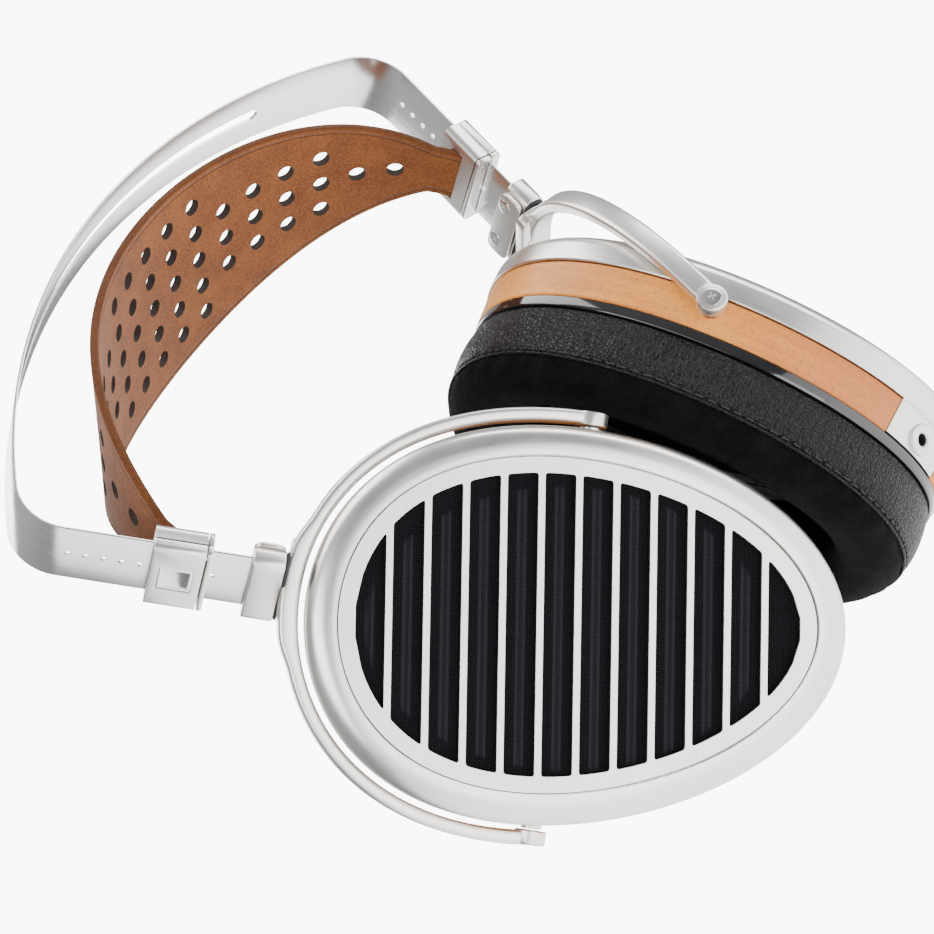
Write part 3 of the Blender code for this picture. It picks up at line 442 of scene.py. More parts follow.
class Finishes:
    """Every material of the headphones, made once."""

    def __init__(self) -> None:
        """Make the materials."""
        self.satin = Metal("satin_metal", (0.80, 0.778, 0.742), 0.33).make()
        self.rim = Metal("satin_rim", (0.79, 0.768, 0.735), 0.30, (0.02, 1.0, 1.0), True, 0.05).make()
        self.plate = Metal("brushed_plate", (0.78, 0.757, 0.722), 0.36, (0.018, 1.0, 1.0), True, 0.14,
                           0.000006).make()
        self.spring = Metal("spring_steel", (0.86, 0.86, 0.855), 0.24, (0.012, 1.0, 1.0), True, 0.07).make()
        self.chrome = Metal("screw_chrome", (0.84, 0.84, 0.845), 0.14).make()
        self.wood = Veneer().make()
        self.suede = Suede().make()
        # Painted shade: a deep brown, far darker than the suede, for the walls of the strap's holes. It stands in for
        # the shade inside the holes.
        self.hole_wall = Enamel("hole_wall", (0.020, 0.011, 0.008), 0.8).make()
        self.leather = Hide().make()
        self.velour = Velour().make()
        self.gloss = Enamel("gloss_black", (0.006, 0.006, 0.007), 0.10, 1.0).make()
        self.rubber = Enamel("black_rubber", (0.015, 0.015, 0.016), 0.65).make()
        self.black = Enamel("driver_black", (0.02, 0.02, 0.022), 0.5).make()
        self.socket = Enamel("socket_white", (0.82, 0.82, 0.80), 0.28, 0.4).make()
        self.mesh = WireCloth().make()


# ================================================================ modelling tools
class Bench:
    """The modelling steps that the pieces share."""

    @staticmethod
    def deselect() -> None:
        """Leave edit mode and deselect every object."""
        if bpy.context.object and bpy.context.object.mode != "OBJECT":
            bpy.ops.object.mode_set(mode="OBJECT")
        bpy.ops.object.select_all(action="DESELECT")

    @classmethod
    def pick(cls, piece: bpy.types.Object) -> None:
        """Make a piece the only selected and the active one."""
        cls.deselect()
        piece.select_set(True)
        bpy.context.view_layer.objects.active = piece

    @staticmethod
    def take(name: str) -> bpy.types.Object:
        """Name the primitive that was just added and put its origin at the world's."""
        piece = bpy.context.object
        piece.name = name
        piece.data.name = name
        bpy.ops.object.transform_apply(location=True, rotation=True, scale=True)
        return piece

    @classmethod
    def clean(cls, piece: bpy.types.Object, weld: float = 0.0, caps: bool = False) -> None:
        """Weld doubles, close open ends and turn the faces outwards."""
        cls.pick(piece)
        bpy.ops.object.mode_set(mode="EDIT")
        bpy.ops.mesh.select_all(action="SELECT")
        if weld:
            bpy.ops.mesh.remove_doubles(threshold=weld)
        if caps:
            bpy.ops.mesh.fill_holes(sides=0)
        bpy.ops.mesh.select_all(action="SELECT")
        bpy.ops.mesh.normals_make_consistent(inside=False)
        bpy.ops.object.mode_set(mode="OBJECT")

    @classmethod
    def skin(cls, name: str, columns: int, rows: int, place: Callable[[int, int], Vector],
             texture: Optional[Callable[[int, int], Point]] = None, weld: float = 1e-6,
             caps: bool = False) -> bpy.types.Object:
        """Lay a grid over a surface, point by point.

        Args:
            name: The piece's name.
            columns: Steps along the surface.
            rows: Steps across it.
            place: Gives the world place of a grid point from its column and row.
            texture: Gives a grid point's surface coordinates, in metres.
            weld: Distance under which points merge, which closes a tube.
            caps: Whether open ends are filled.

        Returns:
            The new piece.
        """
        cls.deselect()
        bpy.ops.mesh.primitive_grid_add(x_subdivisions=columns, y_subdivisions=rows, size=1.0, calc_uvs=True)
        piece = cls.take(name)
        mesh = piece.data
        stations = [(round((v.co.x + 0.5) * columns), round((v.co.y + 0.5) * rows)) for v in mesh.vertices]
        if texture:
            layer = mesh.uv_layers.active.data
            for loop in mesh.loops:
                layer[loop.index].uv = texture(*stations[loop.vertex_index])
        for vertex, (column, row) in zip(mesh.vertices, stations):
            vertex.co = place(column, row)
        cls.clean(piece, weld, caps)
        return piece

    @classmethod
    def prism(cls, name: str, outline: Sequence[Point], low: Callable[[Point], Vector],
              high: Callable[[Point], Vector]) -> bpy.types.Object:
        """Extrude a flat outline from one placing of it to another."""
        cls.deselect()
        bpy.ops.mesh.primitive_circle_add(vertices=len(outline), radius=1.0, fill_type="NGON")
        piece = cls.take(name)
        for vertex, point in zip(piece.data.vertices, outline):
            vertex.co = low(point)
        bpy.ops.object.mode_set(mode="EDIT")
        bpy.ops.mesh.select_all(action="SELECT")
        bpy.ops.mesh.extrude_region_move()
        shape = bmesh.from_edit_mesh(piece.data)
        moved = [v for v in shape.verts if v.select]
        for vertex in moved:
            nearest = min(outline, key=lambda point: (low(point) - vertex.co).length)
            vertex.co = high(nearest)
        bmesh.update_edit_mesh(piece.data)
        bpy.ops.object.mode_set(mode="OBJECT")
        cls.clean(piece)
        return piece

    @classmethod
    def turning(cls, name: str, profile: Sequence[Point], centre: Vector, axis: Vector,
                steps: int = 32) -> bpy.types.Object:
        """Turn a (radius, distance) profile round an axis.

        Args:
            name: The piece's name.
            profile: From one pole to the other, or a closed loop that stays off the axis.
            centre: A point on the axis, where the distance is 0.
            axis: The axis, along which the distance grows.
            steps: Sides of the turned piece.

        Returns:
            The new piece.
        """
        direction = axis.normalized()
        first = direction.orthogonal().normalized()
        second = direction.cross(first)

        def place(column: int, row: int) -> Vector:
            radius, distance = profile[row]
            angle = 2 * math.pi * column / steps
            return centre + (first * math.cos(angle) + second * math.sin(angle)) * radius + direction * distance

        return cls.skin(name, steps, len(profile) - 1, place, weld=2e-7)

    @classmethod
    def rod(cls, name: str, radius: float, half: float, centre: Vector, axis: Vector,
            steps: int) -> bpy.types.Object:
        """A plain round bar about a point, reaching half its length to each side."""
        profile = [(0.0, -half), (radius, -half), (radius, half), (0.0, half)]
        return cls.turning(name, profile, centre, axis, steps)

    @classmethod
    def apply(cls, piece: bpy.types.Object, kind: str, **settings: Any) -> None:
        """Add a modifier with its settings and apply it."""
        cls.pick(piece)
        modifier = piece.modifiers.new("step", kind)
        for key, value in settings.items():
            setattr(modifier, key, value)
        bpy.ops.object.modifier_apply(modifier=modifier.name)

    @classmethod
    def bevel(cls, piece: bpy.types.Object, width: float, segments: int = 2, angle: float = 35.0) -> None:
        """Round the edges that turn by more than an angle, in degrees."""
        cls.apply(piece, "BEVEL", width=width, segments=segments, limit_method="ANGLE",
                  angle_limit=math.radians(angle), harden_normals=False, use_clamp_overlap=True)

    @classmethod
    def cut(cls, piece: bpy.types.Object, tools: Sequence[bpy.types.Object]) -> None:
        """Take the tools' shapes out of a piece and remove the tools."""
        tool = cls.together(tools)
        cls.apply(piece, "BOOLEAN", operation="DIFFERENCE", solver="EXACT", object=tool)
        bpy.data.objects.remove(tool, do_unlink=True)

    @classmethod
    def merge(cls, piece: bpy.types.Object, others: Sequence[bpy.types.Object]) -> None:
        """Unite a piece with others, one by one."""
        for other in others:
            cls.apply(piece, "BOOLEAN", operation="UNION", solver="EXACT", object=other)
            bpy.data.objects.remove(other, do_unlink=True)

    @classmethod
    def together(cls, pieces: Sequence[bpy.types.Object]) -> bpy.types.Object:
        """Join several objects into the first of them."""
        cls.pick(pieces[0])
        for other in pieces[1:]:
            other.select_set(True)
        if len(pieces) > 1:
            bpy.ops.object.join()
        return pieces[0]

    @classmethod
    def smooth(cls, piece: bpy.types.Object, angle: float = 32.0) -> None:
        """Shade smooth below an angle, in degrees."""
        cls.pick(piece)
        bpy.ops.object.shade_smooth_by_angle(angle=math.radians(angle), keep_sharp_edges=False)

    @staticmethod
    def surface_map(piece: bpy.types.Object, station: "Station") -> None:
        """Give a piece surface coordinates (back, up) in metres from its side's frame."""
        mesh = piece.data
        layer = mesh.uv_layers.active or mesh.uv_layers.new(name="surface")
        inverse = station.matrix.inverted()
        for loop in mesh.loops:
            local = inverse @ mesh.vertices[loop.vertex_index].co
            layer.data[loop.index].uv = (local.y, local.z)

    @classmethod
    def finish(cls, piece: bpy.types.Object, body: str, material: bpy.types.Material, slot: str,
               nodes: Sequence[str], angle: float = 32.0) -> bpy.types.Object:
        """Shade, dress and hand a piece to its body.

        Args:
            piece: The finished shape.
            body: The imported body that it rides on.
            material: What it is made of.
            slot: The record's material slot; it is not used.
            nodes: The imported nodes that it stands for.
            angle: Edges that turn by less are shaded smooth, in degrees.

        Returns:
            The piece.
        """
        cls.smooth(piece, angle)
        if not piece.data.materials:
            piece.data.materials.append(material)
        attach(piece, body)
        if nodes:
            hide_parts(*nodes)
        LOG.info("%s: %d faces on %s", piece.name, len(piece.data.polygons), body)
        return piece


# ================================================================ shared geometry
@dataclass
class Station:
    """A frame (out, back, up) of one side, which mirrors for the right one."""

    matrix: Matrix
    sign: int

    def at(self, out: float, back: float, up: float) -> Vector:
        """The world place of a point of this frame."""
        return self.matrix @ Vector((self.sign * out, back, up))

    def way(self, out: float, back: float, up: float) -> Vector:
        """The world direction of a direction of this frame."""
        return (self.at(out, back, up) - self.at(0, 0, 0)).normalized()

    def moved(self, step: Matrix) -> "Station":
        """A frame placed in this one."""
        return Station(self.matrix @ step, self.sign)

    def column(self, name: str, outline: Sequence[Point], low: float, high: float) -> bpy.types.Object:
        """Raise a section (out, back) from one height to another."""
        return Bench.prism(name, outline, lambda p: self.at(p[0], p[1], low), lambda p: self.at(p[0], p[1], high))

    def tile(self, name: str, outline: Sequence[Point], low: float, high: float) -> bpy.types.Object:
        """Raise an outline (back, up) from one distance outwards to another."""
        return Bench.prism(name, outline, lambda p: self.at(low, p[0], p[1]), lambda p: self.at(high, p[0], p[1]))

    def plate(self, name: str, outline: Sequence[Point], low: float, high: float) -> bpy.types.Object:
        """Raise an outline (up, back) from one distance outwards to another."""
        return Bench.prism(name, outline, lambda p: self.at(low, p[1], p[0]), lambda p: self.at(high, p[1], p[0]))


@dataclass
class Side:
    """Where one side's pieces stand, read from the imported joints."""

    name: SideName
    joints: Dict[str, Any]
    arm_lean: float = math.radians(23.4)
    cup_rake: float = math.radians(7.7)
    slider_height: float = 0.0268
    swivel_turn: float = 0.0
    face_up: float = 0.0
    arm: Station = field(init=False)
    slider: Station = field(init=False)
    swivel: Station = field(init=False)
    tilt: Station = field(init=False)
    cup: Station = field(init=False)

    def __post_init__(self) -> None:
        """Work out the frames down the chain."""
        sign = self.name.value
        foot = Vector(self.joints[self.named("yoke_swivel")]["pos_m"])
        pivot = Vector(self.joints[self.named("cup_tilt")]["pos_m"])
        arm = Matrix.Translation(foot) @ Matrix.Rotation(sign * self.arm_lean, 4, "Y")
        self.arm = Station(arm, sign)
        self.slider = self.arm.moved(Matrix.Translation((0, 0, self.slider_height)))
        self.swivel = self.arm.moved(Matrix.Rotation(-sign * self.swivel_turn, 4, "Z"))
        turned = self.swivel.matrix @ Matrix.Rotation(-sign * self.face_up, 4, "Y")
        turned.translation = pivot
        self.tilt = Station(turned, sign)
        self.cup = self.tilt.moved(Matrix.Rotation(-self.cup_rake, 4, "X"))

    @property
    def label(self) -> str:
        """The word that ends this side's names."""
        return self.name.label

    def named(self, base: str) -> str:
        """The name of this side's piece, body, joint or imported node."""
        return f"{base}_{self.label}"


def box(half_first: float, half_second: float) -> List[Point]:
    """The corners of a rectangle about the origin."""
    return [(-half_first, -half_second), (half_first, -half_second), (half_first, half_second),
            (-half_first, half_second)]


def rounded(points: Sequence[Point], radius: float, steps: int = 5, limit: float = 150.0) -> List[Point]:
    """Replace a closed outline's corners with arcs.

    Args:
        points: The corners.
        radius: The arcs' radius, less where an edge is short.
        steps: Pieces of each arc.
        limit: Corners more open than this, in degrees, stay.

    Returns:
        The rounded outline.
    """
    result: List[Point] = []
    for index, corner in enumerate(points):
        here = Vector(corner)
        before = Vector(points[index - 1]) - here
        after = Vector(points[(index + 1) % len(points)]) - here
        angle = before.angle(after)
        if angle > math.radians(limit):
            result.append((here.x, here.y))
            continue
        trim = min(radius / math.tan(angle / 2), 0.46 * before.length, 0.46 * after.length)
        first, last = here + before.normalized() * trim, here + after.normalized() * trim
        for step in range(steps + 1):
            k = step / steps
            point = (1 - k) ** 2 * first + 2 * k * (1 - k) * here + k ** 2 * last
            result.append((point.x, point.y))
    return result


@dataclass(frozen=True)
class CupOutline:
    """The egg-shaped outline of a cup, in (up, back)."""

    half_length: float = 0.0665
    half_width: float = 0.0494
    taper: float = 0.124
    fullness: float = 0.022
    centre_up: float = -0.0029
    centre_back: float = -0.0009
    rake: float = math.radians(7.7)

    def point(self, angle: float, offset: float = 0.0) -> Point:
        """A point (up, back) at an angle, moved outwards by an offset."""
        swell = 1 + self.taper * math.cos(angle) + self.fullness * math.cos(2 * angle)
        up = self.centre_up + self.half_length * math.cos(angle)
        back = self.centre_back + self.half_width * math.sin(angle) * swell
        d_swell = -self.taper * math.sin(angle) - 2 * self.fullness * math.sin(2 * angle)
        d_up = -self.half_length * math.sin(angle)
        d_back = self.half_width * (math.cos(angle) * swell + math.sin(angle) * d_swell)
        length = math.hypot(d_up, d_back)
        return up + offset * d_back / length, back - offset * d_up / length

    def upright(self, angle: float, offset: float = 0.0) -> Point:
        """The same point in the yoke's plane, without the cup's rake."""
        up, back = self.point(angle, offset)
        cos, sin = math.cos(self.rake), math.sin(self.rake)
        return up * cos - back * sin, back * cos + up * sin

    def loop(self, offset: float, steps: int) -> List[Point]:
        """The whole outline as (up, back) points."""
        return [self.point(2 * math.pi * k / steps, offset) for k in range(steps)]

    def crossing(self, sign: int, offset: float = 0.0) -> Tuple[float, float]:
        """Where the tilt axis meets the outline: its angle and its distance back, -1 for the front."""
        low, high = (math.pi * 0.25, math.pi * 0.75) if sign > 0 else (math.pi * 1.75, math.pi * 1.25)
        for _ in range(50):
            middle = (low + high) / 2
            if self.upright(middle, offset)[0] > 0:
                low = middle
            else:
                high = middle
        return low, abs(self.upright(low, offset)[1])


EGG = CupOutline()


def ring(name: str, profile: Sequence[Point], station: Station, steps: int = 192, start: float = 0.0,
         stop: float = 2 * math.pi, depth: Optional[Callable[[float, float, float], float]] = None
         ) -> bpy.types.Object:
    """Sweep a closed (offset, out) profile round the cup's outline.

    Args:
        name: The piece's name.
        profile: Corners of the section.
        station: The cup's frame.
        steps: Sections round the whole sweep.
        start: First angle of the outline.
        stop: Last angle of the outline.
        depth: Changes a point's out value from (out, up, back).

    Returns:
        The new piece, with surface coordinates (distance round, out) in metres.
    """
    whole = abs(stop - start) > 2 * math.pi - 1e-6
    count = len(profile)

    def place(column: int, row: int) -> Vector:
        offset, out = profile[row % count]
        angle = start + (stop - start) * column / steps
        up, back = EGG.point(angle, offset)
        return station.at(depth(out, up, back) if depth else out, back, up)

    travel = [0.0]
    for k in range(steps):
        a = Vector(EGG.point(start + (stop - start) * k / steps))
        b = Vector(EGG.point(start + (stop - start) * (k + 1) / steps))
        travel.append(travel[-1] + (b - a).length)

    def texture(column: int, row: int) -> Point:
        offset, out = profile[row % count]
        return travel[column], out + 0.5 * offset

    return Bench.skin(name, steps, count, place, texture, 1e-7, caps=not whole)


def cross_screw(name: str, centre: Vector, axis: Vector, radius: float, head: float) -> bpy.types.Object:
    """A round-edged screw head with a cross recess.

    Args:
        name: The piece's name.
        centre: The middle of the head's face.
        axis: The way that the face looks.
        radius: The head's radius.
        head: The head's depth.

    Returns:
        The new piece.
    """
    edge = 0.16 * radius
    profile = [(0.0, 0.0), (radius - edge, 0.0), (radius - 0.3 * edge, -0.3 * edge), (radius, -edge),
               (radius, -head), (0.55 * radius, -head), (0.55 * radius, -head - radius), (0.0, -head - radius)]
    piece = Bench.turning(name, profile, centre, axis, 40)
    direction = axis.normalized()
    first = direction.orthogonal().normalized()
    second = direction.cross(first)
    half_long, half_wide = 0.56 * radius, 0.13 * radius
    outline = rounded(box(half_long, half_wide), half_wide * 0.8, 2)
    for a, b, deep in ((first, second, 0.50 * head), (second, first, 0.46 * head)):
        Bench.cut(piece, [Bench.prism(
            f"{name}_tool", outline,
            lambda p, a=a, b=b, d=deep: centre + (a * p[0] + b * p[1]) * 0.8 - direction * d,
            lambda p, a=a, b=b, d=deep: centre + a * p[0] + b * p[1] + direction * 2 * d)])
    return piece


# ================================================================ headband
@dataclass
class SpringBand:
    """The sprung metal strip from one hinge block over the head to the other."""

    finishes: Finishes
    foot_up: float
    sides: Sequence[Side]
    width: float = 0.0196
    thickness: float = 0.0008
    edge: float = 0.00020
    foot_out: float = 0.0700
    lean: float = math.radians(23.4)
    arm_length: float = 0.0552
    shoulder: float = 0.0132
    arch: float = 0.1497
    foot_gap: float = 0.0042
    slot_length: float = 0.1325
    slot_width: float = 0.0038
    detents: int = 9
    detent_first: float = 0.0180
    detent_pitch: float = 0.0044
    detent_radius: float = 0.0008

    def line(self, arm_steps: int = 10, bend_steps: int = 18, arch_steps: int = 60) -> Tuple[List[Vector], Vector]:
        """The strip's centre line from the left foot to the right one, and the arch's centre."""
        along = Vector((math.sin(self.lean), math.cos(self.lean)))
        inward = Vector((-math.cos(self.lean), math.sin(self.lean)))
        foot = Vector((self.foot_out, 0.0))
        bend = foot + along * self.arm_length + inward * self.shoulder
        rise = math.sqrt((self.arch - self.shoulder) ** 2 - bend.x ** 2)
        centre = Vector((0.0, bend.y - rise))
        meet, start = math.atan2(rise, bend.x), math.atan2(-inward.y, -inward.x)
        half = [foot + along * (self.foot_gap + (self.arm_length - self.foot_gap) * k / arm_steps)
                for k in range(arm_steps)]
        for k in range(bend_steps + 1):
            angle = start + (meet - start) * k / bend_steps
            half.append(bend + self.shoulder * Vector((math.cos(angle), math.sin(angle))))
        for k in range(1, arch_steps + 1):
            angle = meet + (math.pi / 2 - meet) * k / arch_steps
            half.append(centre + self.arch * Vector((math.cos(angle), math.sin(angle))))
        return half + [Vector((-p.x, p.y)) for p in reversed(half[:-1])], centre

    def strip(self, name: str, line: Sequence[Vector], halves: Sequence[float], thickness: float,
              edge: float) -> bpy.types.Object:
        """A strip of changing width along a line in the XZ plane."""
        travel = [0.0]
        for a, b in zip(line, line[1:]):
            travel.append(travel[-1] + (b - a).length)

        def section(half: float) -> List[Point]:
            flat = thickness / 2
            e = min(edge, 0.4 * half)
            return [(flat, -half + e), (flat, half - e), (flat - 0.3 * e, half - 0.3 * e), (flat - e, half),
                    (-flat + e, half), (-flat + 0.3 * e, half - 0.3 * e), (-flat, half - e), (-flat, -half + e),
                    (-flat + 0.3 * e, -half + 0.3 * e), (-flat + e, -half), (flat - e, -half),
                    (flat - 0.3 * e, -half + 0.3 * e)]

        corners = len(section(1.0))

        def place(column: int, row: int) -> Vector:
            before, after = line[max(column - 1, 0)], line[min(column + 1, len(line) - 1)]
            along = (after - before).normalized()
            rise, across = section(halves[column])[row % corners]
            return Vector((line[column].x - along.y * rise, across, self.foot_up + line[column].y + along.x * rise))

        def texture(column: int, row: int) -> Point:
            return travel[column], section(halves[column])[row % corners][1]

        return Bench.skin(name, len(line) - 1, corners, place, texture, 1e-7, caps=True)

    def slot_tool(self, centre: Vector) -> bpy.types.Object:
        """The shape of the long slot in the arch."""
        half_angle = self.slot_length / 2 / self.arch
        radius = self.slot_width / 2
        end = radius / self.arch
        angles = [half_angle - end + end * math.cos(math.pi * k / 24) for k in range(1, 12)]
        angles += [(half_angle - end) * (1 - k / 40) for k in range(41)]
        angles += [-a for a in reversed(angles[:-1])]
        line = [centre + self.arch * Vector((math.sin(a), math.cos(a))) for a in angles]
        past = [max(abs(a) - half_angle + end, 0.0) / end for a in angles]
        widths = [radius * math.sqrt(max(1 - k * k, 0.0)) for k in past]
        return self.strip("slot_tool", line, widths, 5 * self.thickness, 0.0)

    def build(self) -> None:
        """Build the spring with its slot and detent holes."""
        line, centre = self.line()
        spring = self.strip("spring_band", line, [self.width / 2] * len(line), self.thickness, self.edge)
        Bench.cut(spring, [self.slot_tool(centre)])
        tools = []
        for side in self.sides:
            for k in range(self.detents):
                place = side.arm.at(0, 0, self.detent_first + k * self.detent_pitch)
                tools.append(Bench.rod("hole_tool", self.detent_radius, 0.002, place, side.arm.way(1, 0, 0), 20))
        Bench.cut(spring, tools)
        Bench.finish(spring, "headband", self.finishes.spring, "spring_steel", ["headband_spring"])


@dataclass
class HeadStrap:
    """The suede strap that hangs under the spring and rests on the head."""

    finishes: Finishes
    foot_up: float
    sides: Sequence[Side]
    anchor_out: float = 0.077241
    anchor_up: float = 0.023279
    rise: float = 0.053621
    bulge: float = 1.01
    width: float = 0.057
    neck: float = 0.0165
    neck_share: float = 0.90
    lean: float = math.radians(16.6)
    thickness: float = 0.0022
    hole_radius: float = 0.00235
    pitch_along: float = 0.0104
    pitch_across: float = 0.0092
    rows: Sequence[int] = (5, 5, 5, 3, 3, 3, 3, 1, 1)
    edge_inset: float = 0.00045
    edge_lift: float = 0.52
    steps: int = 84
    lanes: int = 16
    bend_from: float = 0.30
    bend_to: float = 0.97

    def half_width(self, share: float) -> float:
        """Half of the strap's width at a share of the way from the crown to an end."""
        fullness = max(1 - (share / self.neck_share) ** 2, 0.0)
        return (self.neck + (self.width - self.neck) * fullness) / 2

    def middle(self, share: float) -> Tuple[float, float, Vector, float]:
        """Centre line's x and height, the outward direction and the lean at a share."""
        span = self.bulge * self.anchor_out
        end = math.asin(1 / self.bulge)
        height = self.rise / (1 - math.cos(end))
        angle = share * end
        above = self.rise - height * (1 - math.cos(angle))
        lean = self.lean * above / self.rise
        normal = Vector((height * math.sin(angle), span * math.cos(angle))).normalized()
        out = Vector((normal.x, normal.y * math.sin(lean), normal.y * math.cos(lean))).normalized()
        return span * math.sin(angle), above, out, lean

    def at(self, share: float, across: float, lift: float) -> Vector:
        """A point of the strap: across in metres from its middle, lift from its middle layer."""
        x, above, out, lean = self.middle(share)
        back = above * math.sin(lean) + across * math.cos(lean)
        up = self.foot_up + self.anchor_up + above * math.cos(lean) - across * math.sin(lean)
        return Vector((x, back, up)) + out * lift

    def share_at(self, distance: float) -> float:
        """The share at a distance along the middle from the crown."""
        travel, share = 0.0, 0.0
        here = self.at(0.0, 0.0, 0.0)
        while travel < distance and share < 1.0:
            share += 0.002
            there = self.at(share, 0.0, 0.0)
            travel += (there - here).length
            here = there
        return share

    def half(self, side: Side) -> bpy.types.Object:
        """One half, from the crown to the slider of a side."""
        sign = side.name.value
        travel = [0.0]
        shares = [k / self.steps for k in range(self.steps + 1)]
        for a, b in zip(shares, shares[1:]):
            travel.append(travel[-1] + (self.at(b, 0, 0) - self.at(a, 0, 0)).length)
        flat = self.thickness / 2
        rim = self.edge_lift
        top = [(-1 + 2 * k / self.lanes, 1.0) for k in range(self.lanes + 1)]
        loop = top + [(1.0, rim), (1.0, -rim)] + [(-a, -1.0) for a, _ in top] + [(-1.0, -rim), (-1.0, rim)]

        def spot(column: int, row: int) -> Tuple[float, float]:
            across, lift = loop[row % len(loop)]
            half = self.half_width(shares[column])
            inner = half - (self.edge_inset if abs(lift) == 1.0 else 0.0)
            return across * inner, lift * flat

        def place(column: int, row: int) -> Vector:
            across, lift = spot(column, row)
            return self.at(sign * shares[column], across, lift)

        def texture(column: int, row: int) -> Point:
            across, _ = spot(column, row)
            return travel[column], self.half_width(shares[column]) - abs(across)

        piece = Bench.skin(side.named("strap"), self.steps, len(loop), place, texture, 1e-7, caps=True)
        tools = []
        for column, count in enumerate(self.rows):
            for k in range(count):
                share = sign * self.share_at(column * self.pitch_along)
                across = (k - (count - 1) / 2) * self.pitch_across
                _, _, out, _ = self.middle(share)
                tools.append(Bench.rod("hole_tool", self.hole_radius, 0.004, self.at(share, across, 0.0), out, 28))
        for shape in [piece] + tools:
            shape.data.materials.append(self.finishes.suede)
            shape.data.materials.append(self.finishes.hole_wall)
        # The holes' walls take the second material, the painted shade inside the holes.
        for tool in tools:
            tool.data.polygons.foreach_set("material_index", [1] * len(tool.data.polygons))
        Bench.cut(piece, tools)
        return piece

    def build(self) -> None:
        """Build both halves, each from the crown to its slider, and shade them smooth."""
        for side in self.sides:
            piece = self.half(side)
            Bench.smooth(piece, 40.0)
            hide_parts("head_strap")
            sign = side.name.value
            side.named("slider")
            tuple(self.at(sign * self.bend_from, 0, 0))
            tuple(self.at(sign * self.bend_to, 0, 0))
            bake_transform(piece)
            LOG.info("%s: %d faces", piece.name, len(piece.data.polygons))


# ================================================================ slider
@dataclass
class Slider:
    """The case that slides along the arm and holds the strap's end."""

    finishes: Finishes
    side: Side
    strap: HeadStrap
    length: float = 0.0128
    width: float = 0.0236
    depth_out: float = 0.0034
    depth_in: float = 0.0046
    corner: float = 0.0026
    gap: float = 0.0003
    slip: float = 0.00015
    end_plate: float = 0.0013
    panel: float = 0.0088
    panel_deep: float = 0.0005
    border: float = 0.0008
    screw_inset: float = 0.0026
    screw_radius: float = 0.0011
    strip_width: float = 0.0196
    strip_thickness: float = 0.0008

    def outline(self, depth: float) -> List[Point]:
        """Section (out, back) of one half, with its channel for the strip."""
        sign, half = (1 if depth > 0 else -1), self.width / 2
        channel = self.strip_width / 2 + self.slip
        floor = self.strip_thickness / 2 + self.slip
        split = self.gap / 2
        outer = rounded([(0.0, -half), (abs(depth), -half), (abs(depth), half), (0.0, half)], self.corner, 8, 120.0)
        outer = [(split, -half)] + [p for p in outer if p[0] > 0.3 * abs(depth)] + [(split, half)]
        inner = [(split, channel), (floor, channel), (floor, -channel), (split, -channel)]
        return [(sign * out, back) for out, back in outer + inner]

    def build(self) -> None:
        """Build the two halves with their end plates, screws and panel."""
        frame, body = self.side.slider, self.side.named("slider")
        low, high = -self.length / 2, self.length / 2
        plate_high = low - self.gap
        plate_low = plate_high - self.end_plate
        for part, depth in (("outer", self.depth_out), ("inner", -self.depth_in)):
            outline = self.outline(depth)
            case = frame.column(self.side.named(f"slider_case_{part}"), outline, low, high)
            if part == "outer":
                Bench.bevel(case, 0.00035, 3, 50.0)
                half = self.panel / 2
                Bench.cut(case, [frame.tile("panel_tool", rounded(box(half, half), 0.0007, 5),
                                            depth - self.panel_deep, depth + 0.002)])
                self.medallion(depth)
            else:
                Bench.cut(case, [self.strap_pocket()])
            Bench.finish(case, body, self.finishes.satin, "satin_metal", [self.side.named(f"slider_{part}")], 30.0)
            plate = frame.column(self.side.named(f"slider_plate_{part}"), outline, plate_low, plate_high)
            Bench.bevel(plate, 0.00018, 2, 50.0)
            Bench.finish(plate, body, self.finishes.satin, "satin_metal",
                         [self.side.named(f"slider_end_{part}")], 30.0)
            out = math.copysign((abs(depth) + self.strip_thickness / 2) / 2 + self.gap / 2, depth)
            back = self.width / 2 - self.screw_inset
            for number, place in enumerate(((out, -back), (out, back)), start=1):
                screw = cross_screw(self.side.named(f"slider_bolt_{part}_{number}"),
                                    frame.at(place[0], place[1], plate_low - 0.0001), frame.way(0, 0, -1),
                                    self.screw_radius, 0.0006)
                Bench.finish(screw, body, self.finishes.chrome, "screw_chrome",
                             [self.side.named(f"slider_screw_{part}_{number}")])

    def medallion(self, depth: float) -> None:
        """A plain square insert in the panel, with a fine raised border."""
        frame = self.side.slider
        half = self.panel / 2 - 0.00025
        inner = half - self.border
        low, high = depth - self.panel_deep - 0.0001, depth - 0.00018
        plate = frame.tile(self.side.named("slider_inlay"), rounded(box(half, half), 0.0005, 4), low, high)
        Bench.cut(plate, [frame.tile("well_tool", rounded(box(inner, inner), 0.0004, 4), high - 0.00022,
                                     high + 0.001)])
        Bench.bevel(plate, 0.00008, 2, 50.0)
        Bench.finish(plate, self.side.named("slider"), self.finishes.chrome, "satin_metal", [], 30.0)

    def strap_pocket(self) -> bpy.types.Object:
        """The shape that makes room for the strap's end."""
        sign, strap = self.side.name.value, self.strap
        corners = box(strap.neck / 2 + self.slip, strap.thickness / 2 + self.slip)
        end, before = strap.at(sign, 0, 0), strap.at(sign * 0.96, 0, 0)
        along = (end - before).normalized()
        return Bench.prism("pocket_tool", corners, lambda p: strap.at(sign, p[0], p[1]) + along * 0.0003,
                           lambda p: strap.at(sign, p[0], p[1]) - along * 0.009)


